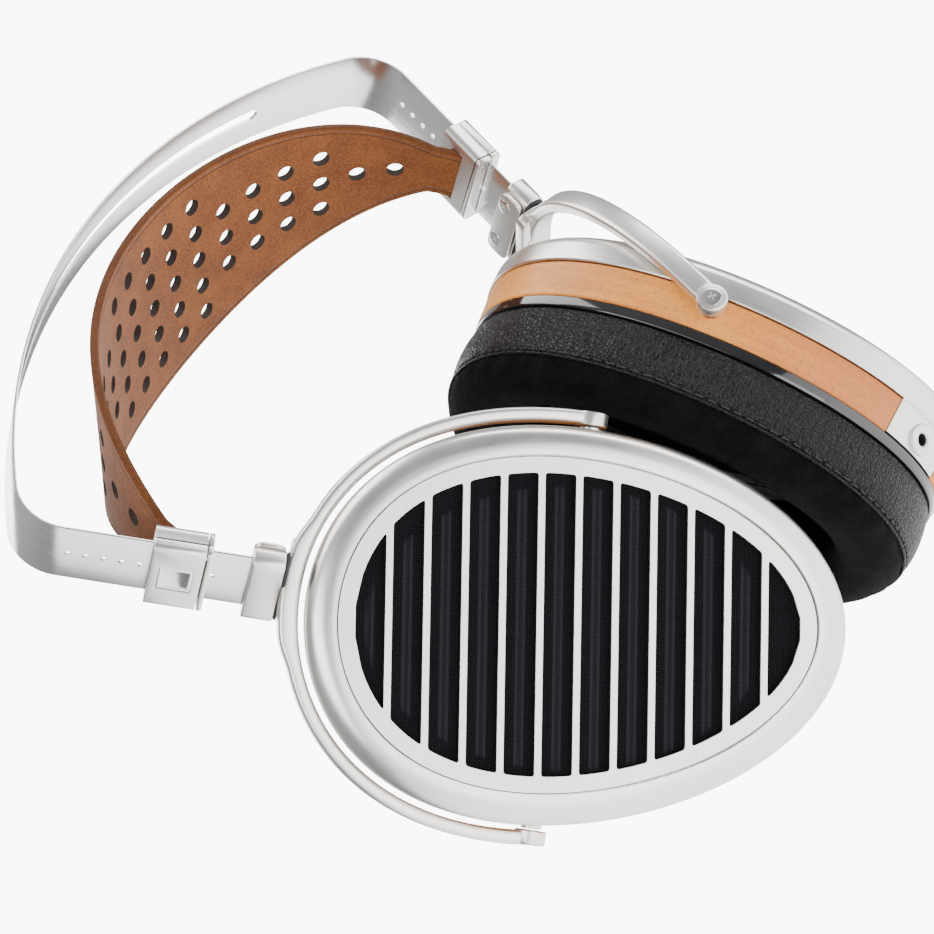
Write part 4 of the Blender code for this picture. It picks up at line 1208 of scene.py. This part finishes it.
# ================================================================ hinge and yoke
@dataclass
class Hinge:
    """The block at the arm's foot, its cover and clamp screws, and the gasket under it."""

    finishes: Finishes
    side: Side
    low: float = 0.0011
    high: float = 0.0091
    width: float = 0.0240
    depth_in: float = 0.0030
    depth_out: float = 0.0036
    corner: float = 0.0028
    cover: float = 0.0014
    gap: float = 0.0003
    screw_back: float = 0.0065
    screw_up: float = 0.00544
    screw_radius: float = 0.0021
    screw_head: float = 0.0008
    strip_room: Point = (0.00055, 0.00995)
    strip_low: float = 0.0039
    gasket_low: float = 0.0003
    gasket_high: float = 0.0009

    def pill(self, half: float, inner: float, outer: float) -> List[Point]:
        """A bar's rounded section (out, back)."""
        return rounded([(-inner, -half), (outer, -half), (outer, half), (-inner, half)], self.corner, 8, 120.0)

    def build(self) -> None:
        """Build the hinge's pieces."""
        frame, metal = self.side.arm, self.finishes.satin
        half = self.width / 2
        block = frame.column(self.side.named("hinge_body"), self.pill(half, self.depth_in, self.depth_out),
                             self.low, self.high)
        Bench.bevel(block, 0.00045, 3, 50.0)
        Bench.cut(block, [frame.column("strip_tool", box(*self.strip_room), self.strip_low, self.high + 0.003)])
        Bench.finish(block, "headband", metal, "satin_metal", [self.side.named("hinge_block")], 30.0)
        face = -self.depth_in - self.gap
        inner = face - self.cover
        rim = half - self.corner / 2
        outline = rounded([(self.low, -rim), (self.high, -rim), (self.high, rim), (self.low, rim)], self.corner, 8)
        cover = frame.plate(self.side.named("hinge_lid"), outline, inner, face)
        Bench.bevel(cover, 0.0003, 3, 50.0)
        Bench.finish(cover, "headband", metal, "satin_metal", [self.side.named("hinge_cover")], 30.0)
        for number, back in enumerate((-self.screw_back, self.screw_back), start=1):
            screw = cross_screw(self.side.named(f"clamp_bolt_{number}"),
                                frame.at(inner - 0.00025, back, self.low + self.screw_up), frame.way(-1, 0, 0),
                                self.screw_radius, self.screw_head)
            Bench.finish(screw, "headband", self.finishes.chrome, "screw_chrome",
                         [self.side.named(f"clamp_screw_{number}")])
        section = self.pill(half - self.gap, self.depth_in, self.depth_out - self.gap)
        gasket = frame.column(self.side.named("hinge_seal"), section, self.gasket_low, self.gasket_high)
        Bench.finish(gasket, "headband", self.finishes.rubber, "black_gasket", [self.side.named("hinge_gasket")])


@dataclass
class Yoke:
    """The arch over the cup, with its base under the hinge block and its two pivot eyes."""

    finishes: Finishes
    side: Side
    gap: float = 0.0014
    depth: float = 0.0036
    width: float = 0.0062
    base_width: float = 0.0078
    base_low: float = -0.00354
    base_high: float = -0.0003
    out: float = 0.0015
    eye: float = 0.0040
    screw_radius: float = 0.0026
    screw_head: float = 0.0010
    corner: float = 0.0013
    flare_end: float = 0.0195
    flare_run: float = 0.0090
    flare_rise: float = 0.0013

    def drop(self) -> float:
        """How far the tilt axis lies below the swivel's foot."""
        return -(self.side.swivel.matrix.inverted() @ self.side.tilt.matrix.translation).z

    def bow(self, drop: float, steps: int = 96) -> bpy.types.Object:
        """The bow from the front pivot over the top to the back one."""
        frame = self.side.swivel
        middle = self.gap + self.depth / 2
        front = EGG.crossing(-1, middle)[0] - 2 * math.pi
        back = EGG.crossing(1, middle)[0]
        path = [EGG.upright(front + (back - front) * k / steps, middle) for k in range(steps + 1)]
        travel = [0.0]
        for a, b in zip(path, path[1:]):
            travel.append(travel[-1] + math.dist(a, b))
        count = len(rounded(box(1, 1), 0.3, 4))

        def section(column: int) -> List[Point]:
            share = abs(2 * travel[column] / travel[-1] - 1)
            half = (self.base_width + (self.width - self.base_width) * math.sqrt(share)) / 2
            return rounded(box(self.depth / 2, half), self.corner, 4)

        def flare(column: int) -> float:
            near = max(min((self.flare_end - abs(travel[column] - travel[-1] / 2)) / self.flare_run, 1.0), 0.0)
            return self.flare_rise * near * near * (3 - 2 * near)

        sections = [section(k) for k in range(steps + 1)]

        def place(column: int, row: int) -> Vector:
            before, after = Vector(path[max(column - 1, 0)]), Vector(path[min(column + 1, steps)])
            along = (after - before).normalized()
            rise, across = sections[column][row % count]
            rise += flare(column) if rise > 0 else 0.0
            up, back_ = path[column]
            return frame.at(self.out + across, back_ - rise * along.x, up + rise * along.y - drop)

        def texture(column: int, row: int) -> Point:
            rise, across = sections[column][row % count]
            return travel[column], across + rise

        return Bench.skin(self.side.named("yoke_bow"), steps, count, place, texture, 1e-7, caps=True)

    def build(self) -> None:
        """Build the yoke and its two pivot screws."""
        frame, drop = self.side.swivel, self.drop()
        yoke = self.bow(drop)
        pill = rounded([(-0.0047, -0.012), (0.0036, -0.012), (0.0036, 0.012), (-0.0047, 0.012)], 0.0028, 8, 120.0)
        base = frame.column("yoke_base", pill, self.base_low, self.base_high)
        Bench.bevel(base, 0.0004, 3, 50.0)
        extras = [base]
        for sign in (-1, 1):
            near = EGG.crossing(sign)[1] + self.gap
            profile = [(0.0, near), (self.eye - 0.0003, near), (self.eye, near + 0.0003),
                       (self.eye, near + self.depth - 0.0006), (self.eye - 0.0002, near + self.depth - 0.0002),
                       (self.eye - 0.0006, near + self.depth), (0.0, near + self.depth)]
            extras.append(Bench.turning("yoke_eye", profile, frame.at(self.out, 0, -drop),
                                        frame.way(0, sign, 0), 48))
        Bench.merge(yoke, extras)
        body = self.side.named("yoke")
        Bench.finish(yoke, body, self.finishes.satin, "satin_metal", [self.side.named("yoke")], 34.0)
        for word, sign in (("front", -1), ("back", 1)):
            face = EGG.crossing(sign)[1] + self.gap + self.depth
            screw = cross_screw(self.side.named(f"pivot_bolt_{word}"),
                                frame.at(self.out, sign * (face + 0.0001), -drop), frame.way(0, sign, 0),
                                self.screw_radius, self.screw_head)
            Bench.finish(screw, body, self.finishes.chrome, "screw_chrome", [self.side.named(f"pivot_screw_{word}")])


# ================================================================ cup
@dataclass
class Cup:
    """One cup: rim and wall, wooden band, socket, grille, mesh and the glossy ring."""

    finishes: Finishes
    side: Side
    jack_angle: float = math.radians(205.0)
    jack_half: float = math.radians(11.86)
    steps: int = 200
    bars: int = 11
    pitch: float = 0.0092
    bar_width: float = 0.0017
    bar_centre: float = -0.0025
    slot_corner: float = 0.0012
    boss_radius: float = 0.0025
    boss_hole: float = 0.0027

    def pin(self, name: str, sign: int, radius: float, near: float, far: float) -> bpy.types.Object:
        """A round bar along the tilt axis, behind (1) or before (-1) the cup's middle."""
        tilt = self.side.tilt
        profile = [(0.0, near), (radius, near), (radius, far), (0.0, far)]
        return Bench.turning(name, profile, tilt.at(0, 0, 0), tilt.way(0, sign, 0), 32)

    def shell(self) -> None:
        """The metal rim and wall, with the section that holds the socket and the pivot bosses."""
        frame = self.side.cup
        profile = [(-0.0033, -0.0062), (-0.0033, 0.0038), (-0.0003, 0.0038), (0.0, 0.0041), (0.0, 0.0090),
                   (-0.0002, 0.0102), (-0.0008, 0.0113), (-0.0016, 0.0121), (-0.0026, 0.0127), (-0.0038, 0.0132),
                   (-0.0050, 0.0135), (-0.0066, 0.0136), (-0.0073, 0.0136), (-0.0076, 0.0133), (-0.0076, 0.0114),
                   (-0.0095, 0.0114), (-0.0095, 0.0098), (-0.0050, 0.0098), (-0.0050, -0.0062)]
        shell = ring(self.side.named("cup_rim"), profile, frame, self.steps)
        section = [(-0.00415, -0.0062), (-0.0016, -0.0062), (-0.0006, 0.0041), (-0.00415, 0.0041)]
        piece = ring("jack_section", section, frame, 40, self.jack_angle - self.jack_half,
                     self.jack_angle + self.jack_half)
        bosses = [piece]
        for sign in (-1, 1):
            reach = EGG.crossing(sign)[1]
            bosses.append(self.pin("boss", sign, self.boss_radius, reach - 0.0075, reach + 0.0011))
        Bench.merge(shell, bosses)
        bore = [(0.0, 0.002), (0.00415, 0.002), (0.00415, -0.0021), (0.00315, -0.0021), (0.00315, -0.0126),
                (0.0, -0.0126)]
        Bench.cut(shell, [Bench.turning("jack_bore", bore, self.jack_place(), self.jack_way(), 40)])
        Bench.finish(shell, self.side.named("cup"), self.finishes.rim, "satin_metal", [self.side.named("cup_shell")])

    def jack_place(self) -> Vector:
        """Where the socket's axis leaves the cup's outline."""
        up, back = EGG.point(self.jack_angle)
        return self.side.cup.at(-0.0015, back, up)

    def jack_way(self) -> Vector:
        """The way that the socket looks."""
        up, back = EGG.point(self.jack_angle)
        far_up, far_back = EGG.point(self.jack_angle, 0.01)
        return self.side.cup.way(0, far_back - back, far_up - up)

    def wood(self) -> None:
        """The wooden band round the rest of the cup."""
        frame = self.side.cup
        trim = math.radians(0.35)
        profile = [(-0.0030, -0.0065), (-0.0019, -0.0065), (-0.0015, -0.0062), (-0.0011, -0.0015), (-0.0006, 0.0032),
                   (-0.0008, 0.0035), (-0.0030, 0.0035)]
        start = self.jack_angle + self.jack_half + trim
        stop = self.jack_angle - self.jack_half - trim + 2 * math.pi
        band = ring(self.side.named("veneer_band"), profile, frame, self.steps, start, stop)
        tools = []
        for sign in (-1, 1):
            reach = EGG.crossing(sign)[1]
            tools.append(self.pin("hole", sign, self.boss_hole, reach - 0.006, reach + 0.003))
        Bench.cut(band, tools)
        Bench.finish(band, self.side.named("cup"), self.finishes.wood, "golden_veneer",
                     [self.side.named("wood_band")])

    def socket(self) -> None:
        """The turned jack socket with its pale flange."""
        profile = [(0.00175, -0.0008), (0.00205, -0.0004), (0.0026, -0.00045), (0.0032, -0.0003), (0.0038, -0.00035),
                   (0.0040, -0.0006), (0.0040, -0.0018), (0.0030, -0.0018), (0.0030, -0.0126), (0.00175, -0.0126),
                   (0.00175, -0.0008)]
        piece = Bench.turning(self.side.named("jack_ring"), profile, self.jack_place(), self.jack_way(), 48)
        Bench.finish(piece, self.side.named("cup"), self.finishes.socket, "white_socket",
                     [self.side.named("jack_socket")])
        depth = [(0.0, -0.0098), (0.0015, -0.0098), (0.0015, -0.0010), (0.00173, -0.0010), (0.00173, -0.0104),
                 (0.0, -0.0104)]
        bottom = Bench.turning(self.side.named("jack_contact"), depth, self.jack_place(), self.jack_way(), 24)
        Bench.finish(bottom, self.side.named("cup"), self.finishes.black, "driver_black", [])

    def back_at(self, up: float, offset: float, sign: int) -> float:
        """How far back the outline lies at a height, on its back (1) or front (-1) half."""
        low, high = (0.0, math.pi) if sign > 0 else (0.0, -math.pi)
        for _ in range(44):
            middle = (low + high) / 2
            if EGG.point(middle, offset)[0] > up:
                low = middle
            else:
                high = middle
        return EGG.point(low, offset)[1]

    def slots(self, offset: float) -> List[List[Point]]:
        """Outlines (up, back) of the grille's openings."""
        heights = [EGG.point(math.pi * k / 200, offset)[0] for k in range(201)]
        top, bottom = max(heights) - 0.0002, min(heights) + 0.0002
        centres = [self.bar_centre + (k - (self.bars - 1) / 2) * self.pitch for k in range(self.bars)]
        lows = [bottom] + [c + self.bar_width / 2 for c in centres]
        highs = [c - self.bar_width / 2 for c in centres] + [top]
        outlines = []
        for low, high in zip(lows, highs):
            low, high = max(low, bottom), min(high, top)
            if high - low < 2 * self.slot_corner:
                continue
            levels = [low + (high - low) * k for k in (0.0, 0.22, 0.36, 0.5, 0.64, 0.78, 1.0)]
            front = [(up, self.back_at(up, offset, -1)) for up in levels]
            rear = [(up, self.back_at(up, offset, 1)) for up in reversed(levels)]
            outlines.append(rounded(front + rear, self.slot_corner, 5))
        return outlines

    def plate(self, name: str, offset: float, low: float, high: float) -> bpy.types.Object:
        """An egg-shaped plate between two heights."""
        return self.side.cup.plate(name, EGG.loop(offset, 180), low, high)

    def grille(self) -> None:
        """The slotted plate over the driver, a black ring of painted shade in the gap round it, and the mesh behind
        it.
        """
        frame = self.side.cup
        plate = self.plate(self.side.named("grille_plate"), -0.0079, 0.0117, 0.0132)
        Bench.cut(plate, [frame.plate("slot_tool", outline, 0.010, 0.015) for outline in self.slots(-0.0119)])
        Bench.bevel(plate, 0.00022, 2, 50.0)
        Bench.surface_map(plate, frame)
        body = self.side.named("cup")
        Bench.finish(plate, body, self.finishes.plate, "satin_metal", [self.side.named("grille")], 20.0)
        # Painted shade: a thin black ring on the ledge at the bottom of the gap between the rim and the grille plate.
        # It darkens that gap line and is no gasket.
        gap_shade_ring = ring(self.side.named("grille_seal"), [(-0.0077, 0.01142), (-0.0077, 0.01162), (-0.0092, 0.01162),
                                                       (-0.0092, 0.01142)], frame, self.steps)
        Bench.finish(gap_shade_ring, body, self.finishes.rubber, "black_gasket", [])
        cloth = self.plate(self.side.named("mesh_cloth"), -0.0098, 0.0109, 0.0114)
        Bench.surface_map(cloth, frame)
        Bench.finish(cloth, body, self.finishes.mesh, "dark_mesh", [self.side.named("grille_mesh")])

    def baffle(self) -> None:
        """The glossy ring between the cup and its pad."""
        profile = [(-0.0018, -0.0068), (-0.0018, -0.0087), (-0.0019, -0.0091), (-0.0021, -0.0094), (-0.0025, -0.0095),
                   (-0.0168, -0.0095), (-0.0168, -0.0068)]
        piece = ring(self.side.named("gloss_ring"), profile, self.side.cup, self.steps)
        Bench.finish(piece, self.side.named("cup"), self.finishes.gloss, "gloss_black", [self.side.named("baffle")])

    def build(self) -> None:
        """Build the cup's pieces."""
        self.shell()
        self.wood()
        self.socket()
        self.grille()
        self.baffle()


# ================================================================ ear pad
@dataclass
class EarPad:
    """A foam ring in leather with a velour face, deeper behind the ear."""

    finishes: Finishes
    side: Side
    seat: float = -0.0098
    middle: float = 0.02275
    extra: float = 0.00225
    puff: float = 0.0009
    frames: int = 18
    steps: int = 240
    seam_outer: int = 15
    gathers: int = 58
    stitches: int = 118
    thread: float = 0.00024
    corners: Sequence[Point] = ((-0.0024, -0.0098), (-0.0017, -0.01549), (-0.0020, -0.02231), (-0.0040, -0.02846),
                                (-0.0082, -0.03195), (-0.0124, -0.03255), (-0.0174, -0.03095), (-0.0217, -0.02655),
                                (-0.0229, -0.01955), (-0.0225, -0.0098))
    spans: int = 6
    seam_pull: float = 0.0009
    ripple: float = 0.00042
    slack: float = 0.00030
    piping: float = 0.00042

    def deepen(self, out: float, up: float, back: float) -> float:
        """Make the section deeper towards the back."""
        depth = self.middle + self.extra * back / EGG.half_width
        return self.seat + (out - self.seat) * depth / self.middle

    def section(self) -> List[Point]:
        """A smooth curve through the corners, closed along the seat."""
        corners = [Vector(c) for c in self.corners]
        points: List[Point] = []
        for k in range(len(corners) - 1):
            before = corners[max(k - 1, 0)]
            after = corners[min(k + 2, len(corners) - 1)]
            for step in range(self.spans):
                t = step / self.spans
                p = 0.5 * ((2 * corners[k]) + (corners[k + 1] - before) * t
                           + (2 * before - 5 * corners[k] + 4 * corners[k + 1] - after) * t * t
                           + (3 * corners[k] - before - 3 * corners[k + 1] + after) * t ** 3)
                points.append((p.x, p.y))
        points.append((corners[-1].x, corners[-1].y))
        width = corners[0].x - corners[-1].x
        points += [(corners[-1].x + width * k / self.spans, self.seat) for k in range(1, self.spans)]
        return points

    def swell(self, pad: bpy.types.Object, section: Sequence[Point], rows: Sequence[int]) -> None:
        """Blow the skin up a little as cloth, held at its seams and along the seat."""
        start = [v.co.copy() for v in pad.data.vertices]
        held = pad.vertex_groups.new(name="held")
        last = len(section) - self.spans
        for index, row in enumerate(rows):
            near_seam = abs(row - self.seam_outer) <= 1
            if row >= last or row <= 1 or near_seam:
                held.add([index], 1.0, "REPLACE")
        Bench.pick(pad)
        cloth = pad.modifiers.new("swell", "CLOTH")
        settings = cloth.settings
        settings.quality = 4
        settings.mass = 0.3
        settings.tension_stiffness = 24.0
        settings.compression_stiffness = 24.0
        settings.bending_stiffness = 0.8
        settings.use_pressure = True
        settings.uniform_pressure_force = 4.0
        settings.vertex_group_mass = held.name
        settings.effector_weights.gravity = 0.0
        cloth.collision_settings.use_collision = False
        cloth.point_cache.frame_start = 1
        cloth.point_cache.frame_end = self.frames
        for frame in range(1, self.frames + 1):
            bpy.context.scene.frame_set(frame)
        Bench.pick(pad)
        bpy.ops.object.modifier_apply(modifier=cloth.name)
        bpy.context.scene.frame_set(1)
        for vertex, home in zip(pad.data.vertices, start):
            step = vertex.co - home
            if step.length > self.puff:
                vertex.co = home + step * (self.puff / step.length)
        pad.vertex_groups.clear()

    def build(self) -> None:
        """Build the pad, its welt and its stitches."""
        frame, body = self.side.cup, self.side.named("cup")
        section = self.section()
        pad = ring(self.side.named("pad_skin"), section, frame, self.steps, depth=self.deepen)
        inverse = frame.matrix.inverted()
        rows = [self.row_of(inverse @ vertex.co, section) for vertex in pad.data.vertices]
        pad.data.materials.append(self.finishes.leather)
        pad.data.materials.append(self.finishes.velour)
        self.crease(pad, rows)
        self.swell(pad, section, rows)
        for face in pad.data.polygons:
            inner = sum(rows[v] for v in face.vertices) / len(face.vertices) > self.seam_outer
            face.material_index = 1 if inner else 0
        Bench.apply(pad, "SUBSURF", levels=1, render_levels=1)
        Bench.finish(pad, body, self.finishes.leather, "black_pad", [self.side.named("ear_pad")], 60.0)
        self.welt(section)

    def row_of(self, local: Vector, section: Sequence[Point]) -> int:
        """The row of the section that a vertex of the pad stands on."""
        back, up = local.y, local.z
        out = self.side.name.value * local.x
        best, found = 1e9, 0
        angle = math.atan2((back - EGG.centre_back) / EGG.half_width, (up - EGG.centre_up) / EGG.half_length)
        for _ in range(3):
            edge_up, edge_back = EGG.point(angle)
            step = 1e-4
            next_up, next_back = EGG.point(angle + step)
            tangent = Vector((next_up - edge_up, next_back - edge_back)) / step
            miss = Vector((up - edge_up, back - edge_back))
            angle += miss.dot(tangent) / tangent.length_squared
        edge_up, edge_back = EGG.point(angle)
        offset = -math.hypot(up - edge_up, back - edge_back)
        for index, (place, height) in enumerate(section):
            distance = (place - offset) ** 2 + (self.deepen(height, up, back) - out) ** 2
            if distance < best:
                best, found = distance, index
        return found

    def crease(self, pad: bpy.types.Object, rows: Sequence[int]) -> None:
        """Pull the seam in and let the leather ripple a little beside it."""
        frame = self.side.cup
        inverse = frame.matrix.inverted()
        for vertex, row in zip(pad.data.vertices, rows):
            local = inverse @ vertex.co
            angle = math.atan2(local.y, local.z)
            gap = abs(row - self.seam_outer)
            pull = self.seam_pull * math.exp(-(gap / 0.8) ** 2)
            wave = math.sin(angle * self.gathers + 2.2 * math.sin(angle * 5)) * (0.6 + 0.4 * math.sin(angle * 7 + 1))
            ripple = self.ripple * wave * math.exp(-((row - self.seam_outer - 1) / 2.6) ** 2)
            sway = math.sin(angle * 9 + 1.3 * math.sin(angle * 4))
            slack = self.slack * sway * math.exp(-((row - 10) / 7.0) ** 2)
            radial = (frame.at(0, local.y, local.z) - frame.at(0, 0, 0)).normalized()
            inward = frame.way(1, 0, 0) * 0.45 - radial * 0.9
            shift = inward * (pull - ripple)
            if row < 20:
                shift += radial * slack
            vertex.co += shift

    def welt(self, section: Sequence[Point]) -> None:
        """The thin piping along the seam and a run of stitches beside it."""
        frame, body = self.side.cup, self.side.named("cup")
        cord = ring(self.side.named("pad_piping"), self.round_loop(section[self.seam_outer], self.piping, 10),
                    frame, self.steps, depth=self.deepen)
        Bench.finish(cord, body, self.finishes.leather, "black_pad", [], 60.0)
        loop = self.round_loop(section[self.seam_outer - 1], self.thread, 6)
        turn = 2 * math.pi / self.stitches
        pieces = [ring("stitch", loop, frame, 3, turn * (k + 0.2), turn * (k + 0.8), self.deepen)
                  for k in range(self.stitches)]
        run = Bench.together(pieces)
        run.name = self.side.named("pad_stitches")
        Bench.finish(run, body, self.finishes.rubber, "black_pad", [], 60.0)

    @staticmethod
    def round_loop(centre: Point, radius: float, sides: int) -> List[Point]:
        """A round section about a point of the pad's section."""
        turns = [2 * math.pi * k / sides for k in range(sides)]
        return [(centre[0] + radius * math.cos(a), centre[1] + radius * math.sin(a)) for a in turns]


# ================================================================ carried-over pieces, stage
def dress_inside(frame: Dict[str, Any], finishes: Finishes) -> None:
    """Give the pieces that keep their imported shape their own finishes.

    Args:
        frame: The loaded model.
        finishes: The materials.
    """
    looks = {"detent_ball": finishes.chrome, "swivel_pin": finishes.chrome, "driver_frame": finishes.black,
             "magnet_array": finishes.rubber, "diaphragm": finishes.rubber}
    for name, piece in frame["nodes"].items():
        for base, material in looks.items():
            if name.startswith(base):
                piece.data.materials.clear()
                piece.data.materials.append(material)
                LOG.info("%s keeps its shape", name)


@dataclass
class Studio:
    """Pale floor, soft lights and the camera."""

    floor_up: float = -0.62
    lens: float = 139.695
    place: Sequence[float] = (-0.57560, -0.71404, -0.22229)
    right: Sequence[float] = (0.43576642, -0.19360172, -0.87899147)
    down: Sequence[float] = (-0.65731411, 0.59868252, -0.45773071)
    forward: Sequence[float] = (0.61485428, 0.77723716, 0.1336286)

    def camera(self) -> None:
        """Stand the camera where the object is seen as wanted."""
        data = bpy.data.cameras.new("view")
        data.lens = self.lens
        data.sensor_width = 36.0
        data.clip_start, data.clip_end = 0.01, 50.0
        eye = bpy.data.objects.new("view", data)
        bpy.context.scene.collection.objects.link(eye)
        x, y, z = Vector(self.right), -Vector(self.down), -Vector(self.forward)
        turn = Matrix((x, y, z)).transposed().to_4x4()
        eye.matrix_world = Matrix.Translation(self.place) @ turn
        bpy.context.scene.camera = eye

    def floor(self) -> None:
        """A pale floor far below the object."""
        Bench.deselect()
        bpy.ops.mesh.primitive_circle_add(vertices=96, radius=3.2, fill_type="NGON", location=(0, 0, self.floor_up))
        floor = Bench.take("floor")
        recipe = Recipe("pale_floor", (0.93, 0.93, 0.93), 0.9, 0.0, {"Emission Strength": 1.8})
        recipe.shader.inputs["Emission Color"].default_value = (1.0, 1.0, 1.0, 1.0)
        recipe.feed("Roughness", recipe.noise(recipe.place(), 3.0) * 0.1 + 0.82)
        floor.data.materials.append(recipe.material)

    def world(self) -> None:
        """A white surround for the eye and a graded one for reflections."""
        world = bpy.data.worlds.new("studio")
        bpy.context.scene.world = world
        world.use_nodes = True
        tree = world.node_tree
        tree.nodes.clear()
        recipe = Recipe.__new__(Recipe)
        recipe.tree = tree
        way = recipe.add("ShaderNodeTexCoord", output="Generated")
        height = recipe.part_of(way, "Z")
        sky = recipe.add("ShaderNodeValToRGB", {"stops": [
            (0.0, (0.60, 0.60, 0.61)), (0.40, (0.30, 0.30, 0.31)), (0.52, (0.62, 0.62, 0.63)),
            (0.80, (1.0, 1.0, 1.0)), (1.0, (1.0, 1.0, 1.0))]}, {0: height * 0.5 + 0.5})
        seen = recipe.add("ShaderNodeLightPath", output="Is Camera Ray")
        tint = recipe.blend(seen, sky, (1.0, 1.0, 1.0))
        back = recipe.add("ShaderNodeBackground", None, {"Color": tint, "Strength": seen * 9.0 + 0.50})
        output = tree.nodes.new("ShaderNodeOutputWorld")
        tree.links.new(back.socket, output.inputs[0])

    def lamp(self, name: str, place: Sequence[float], size: Sequence[float], power: float,
             aim: Sequence[float] = (0, 0, -0.09)) -> None:
        """A rectangular soft light that looks at the object."""
        data = bpy.data.lights.new(name, "AREA")
        data.shape = "RECTANGLE"
        data.size, data.size_y = size
        data.energy = power
        light = bpy.data.objects.new(name, data)
        bpy.context.scene.collection.objects.link(light)
        way = (Vector(aim) - Vector(place)).normalized()
        light.matrix_world = Matrix.Translation(place) @ way.to_track_quat("-Z", "Y").to_matrix().to_4x4()

    def build(self) -> None:
        """Set everything up."""
        self.camera()
        self.floor()
        self.world()
        self.lamp("top_softbox", (0.15, -0.15, 0.75), (0.9, 0.7), 9.5)
        self.lamp("front_softbox", (-0.95, -0.55, 0.35), (0.5, 0.9), 7.0)
        self.lamp("side_strip", (0.85, -0.75, 0.15), (0.25, 1.0), 6.5)
        self.lamp("back_rim", (0.35, 0.95, 0.45), (0.6, 0.6), 6.5)
        self.lamp("low_fill", (-0.45, -0.85, -0.45), (0.8, 0.3), 2.0)


# ================================================================ whole
TURNS = {SideName.LEFT: (math.radians(15.0), math.radians(26.0)),
         SideName.RIGHT: (math.radians(56.0), math.radians(1.8))}


def main() -> None:
    """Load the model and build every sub-assembly."""
    logging.basicConfig(level=logging.INFO, format="%(message)s")
    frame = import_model()
    finishes = Finishes()
    joints = {joint["name"]: joint for joint in frame["joints"]}
    sides = [Side(name, joints, swivel_turn=TURNS[name][0], face_up=TURNS[name][1]) for name in SideName]
    foot_up = sides[0].arm.matrix.translation.z
    SpringBand(finishes, foot_up, sides).build()
    strap = HeadStrap(finishes, foot_up, sides)
    strap.build()
    for side in sides:
        Slider(finishes, side, strap).build()
        Hinge(finishes, side).build()
        Yoke(finishes, side).build()
        Cup(finishes, side).build()
        EarPad(finishes, side).build()
    dress_inside(frame, finishes)
    Studio().build()


if __name__ == "__main__":
    main()
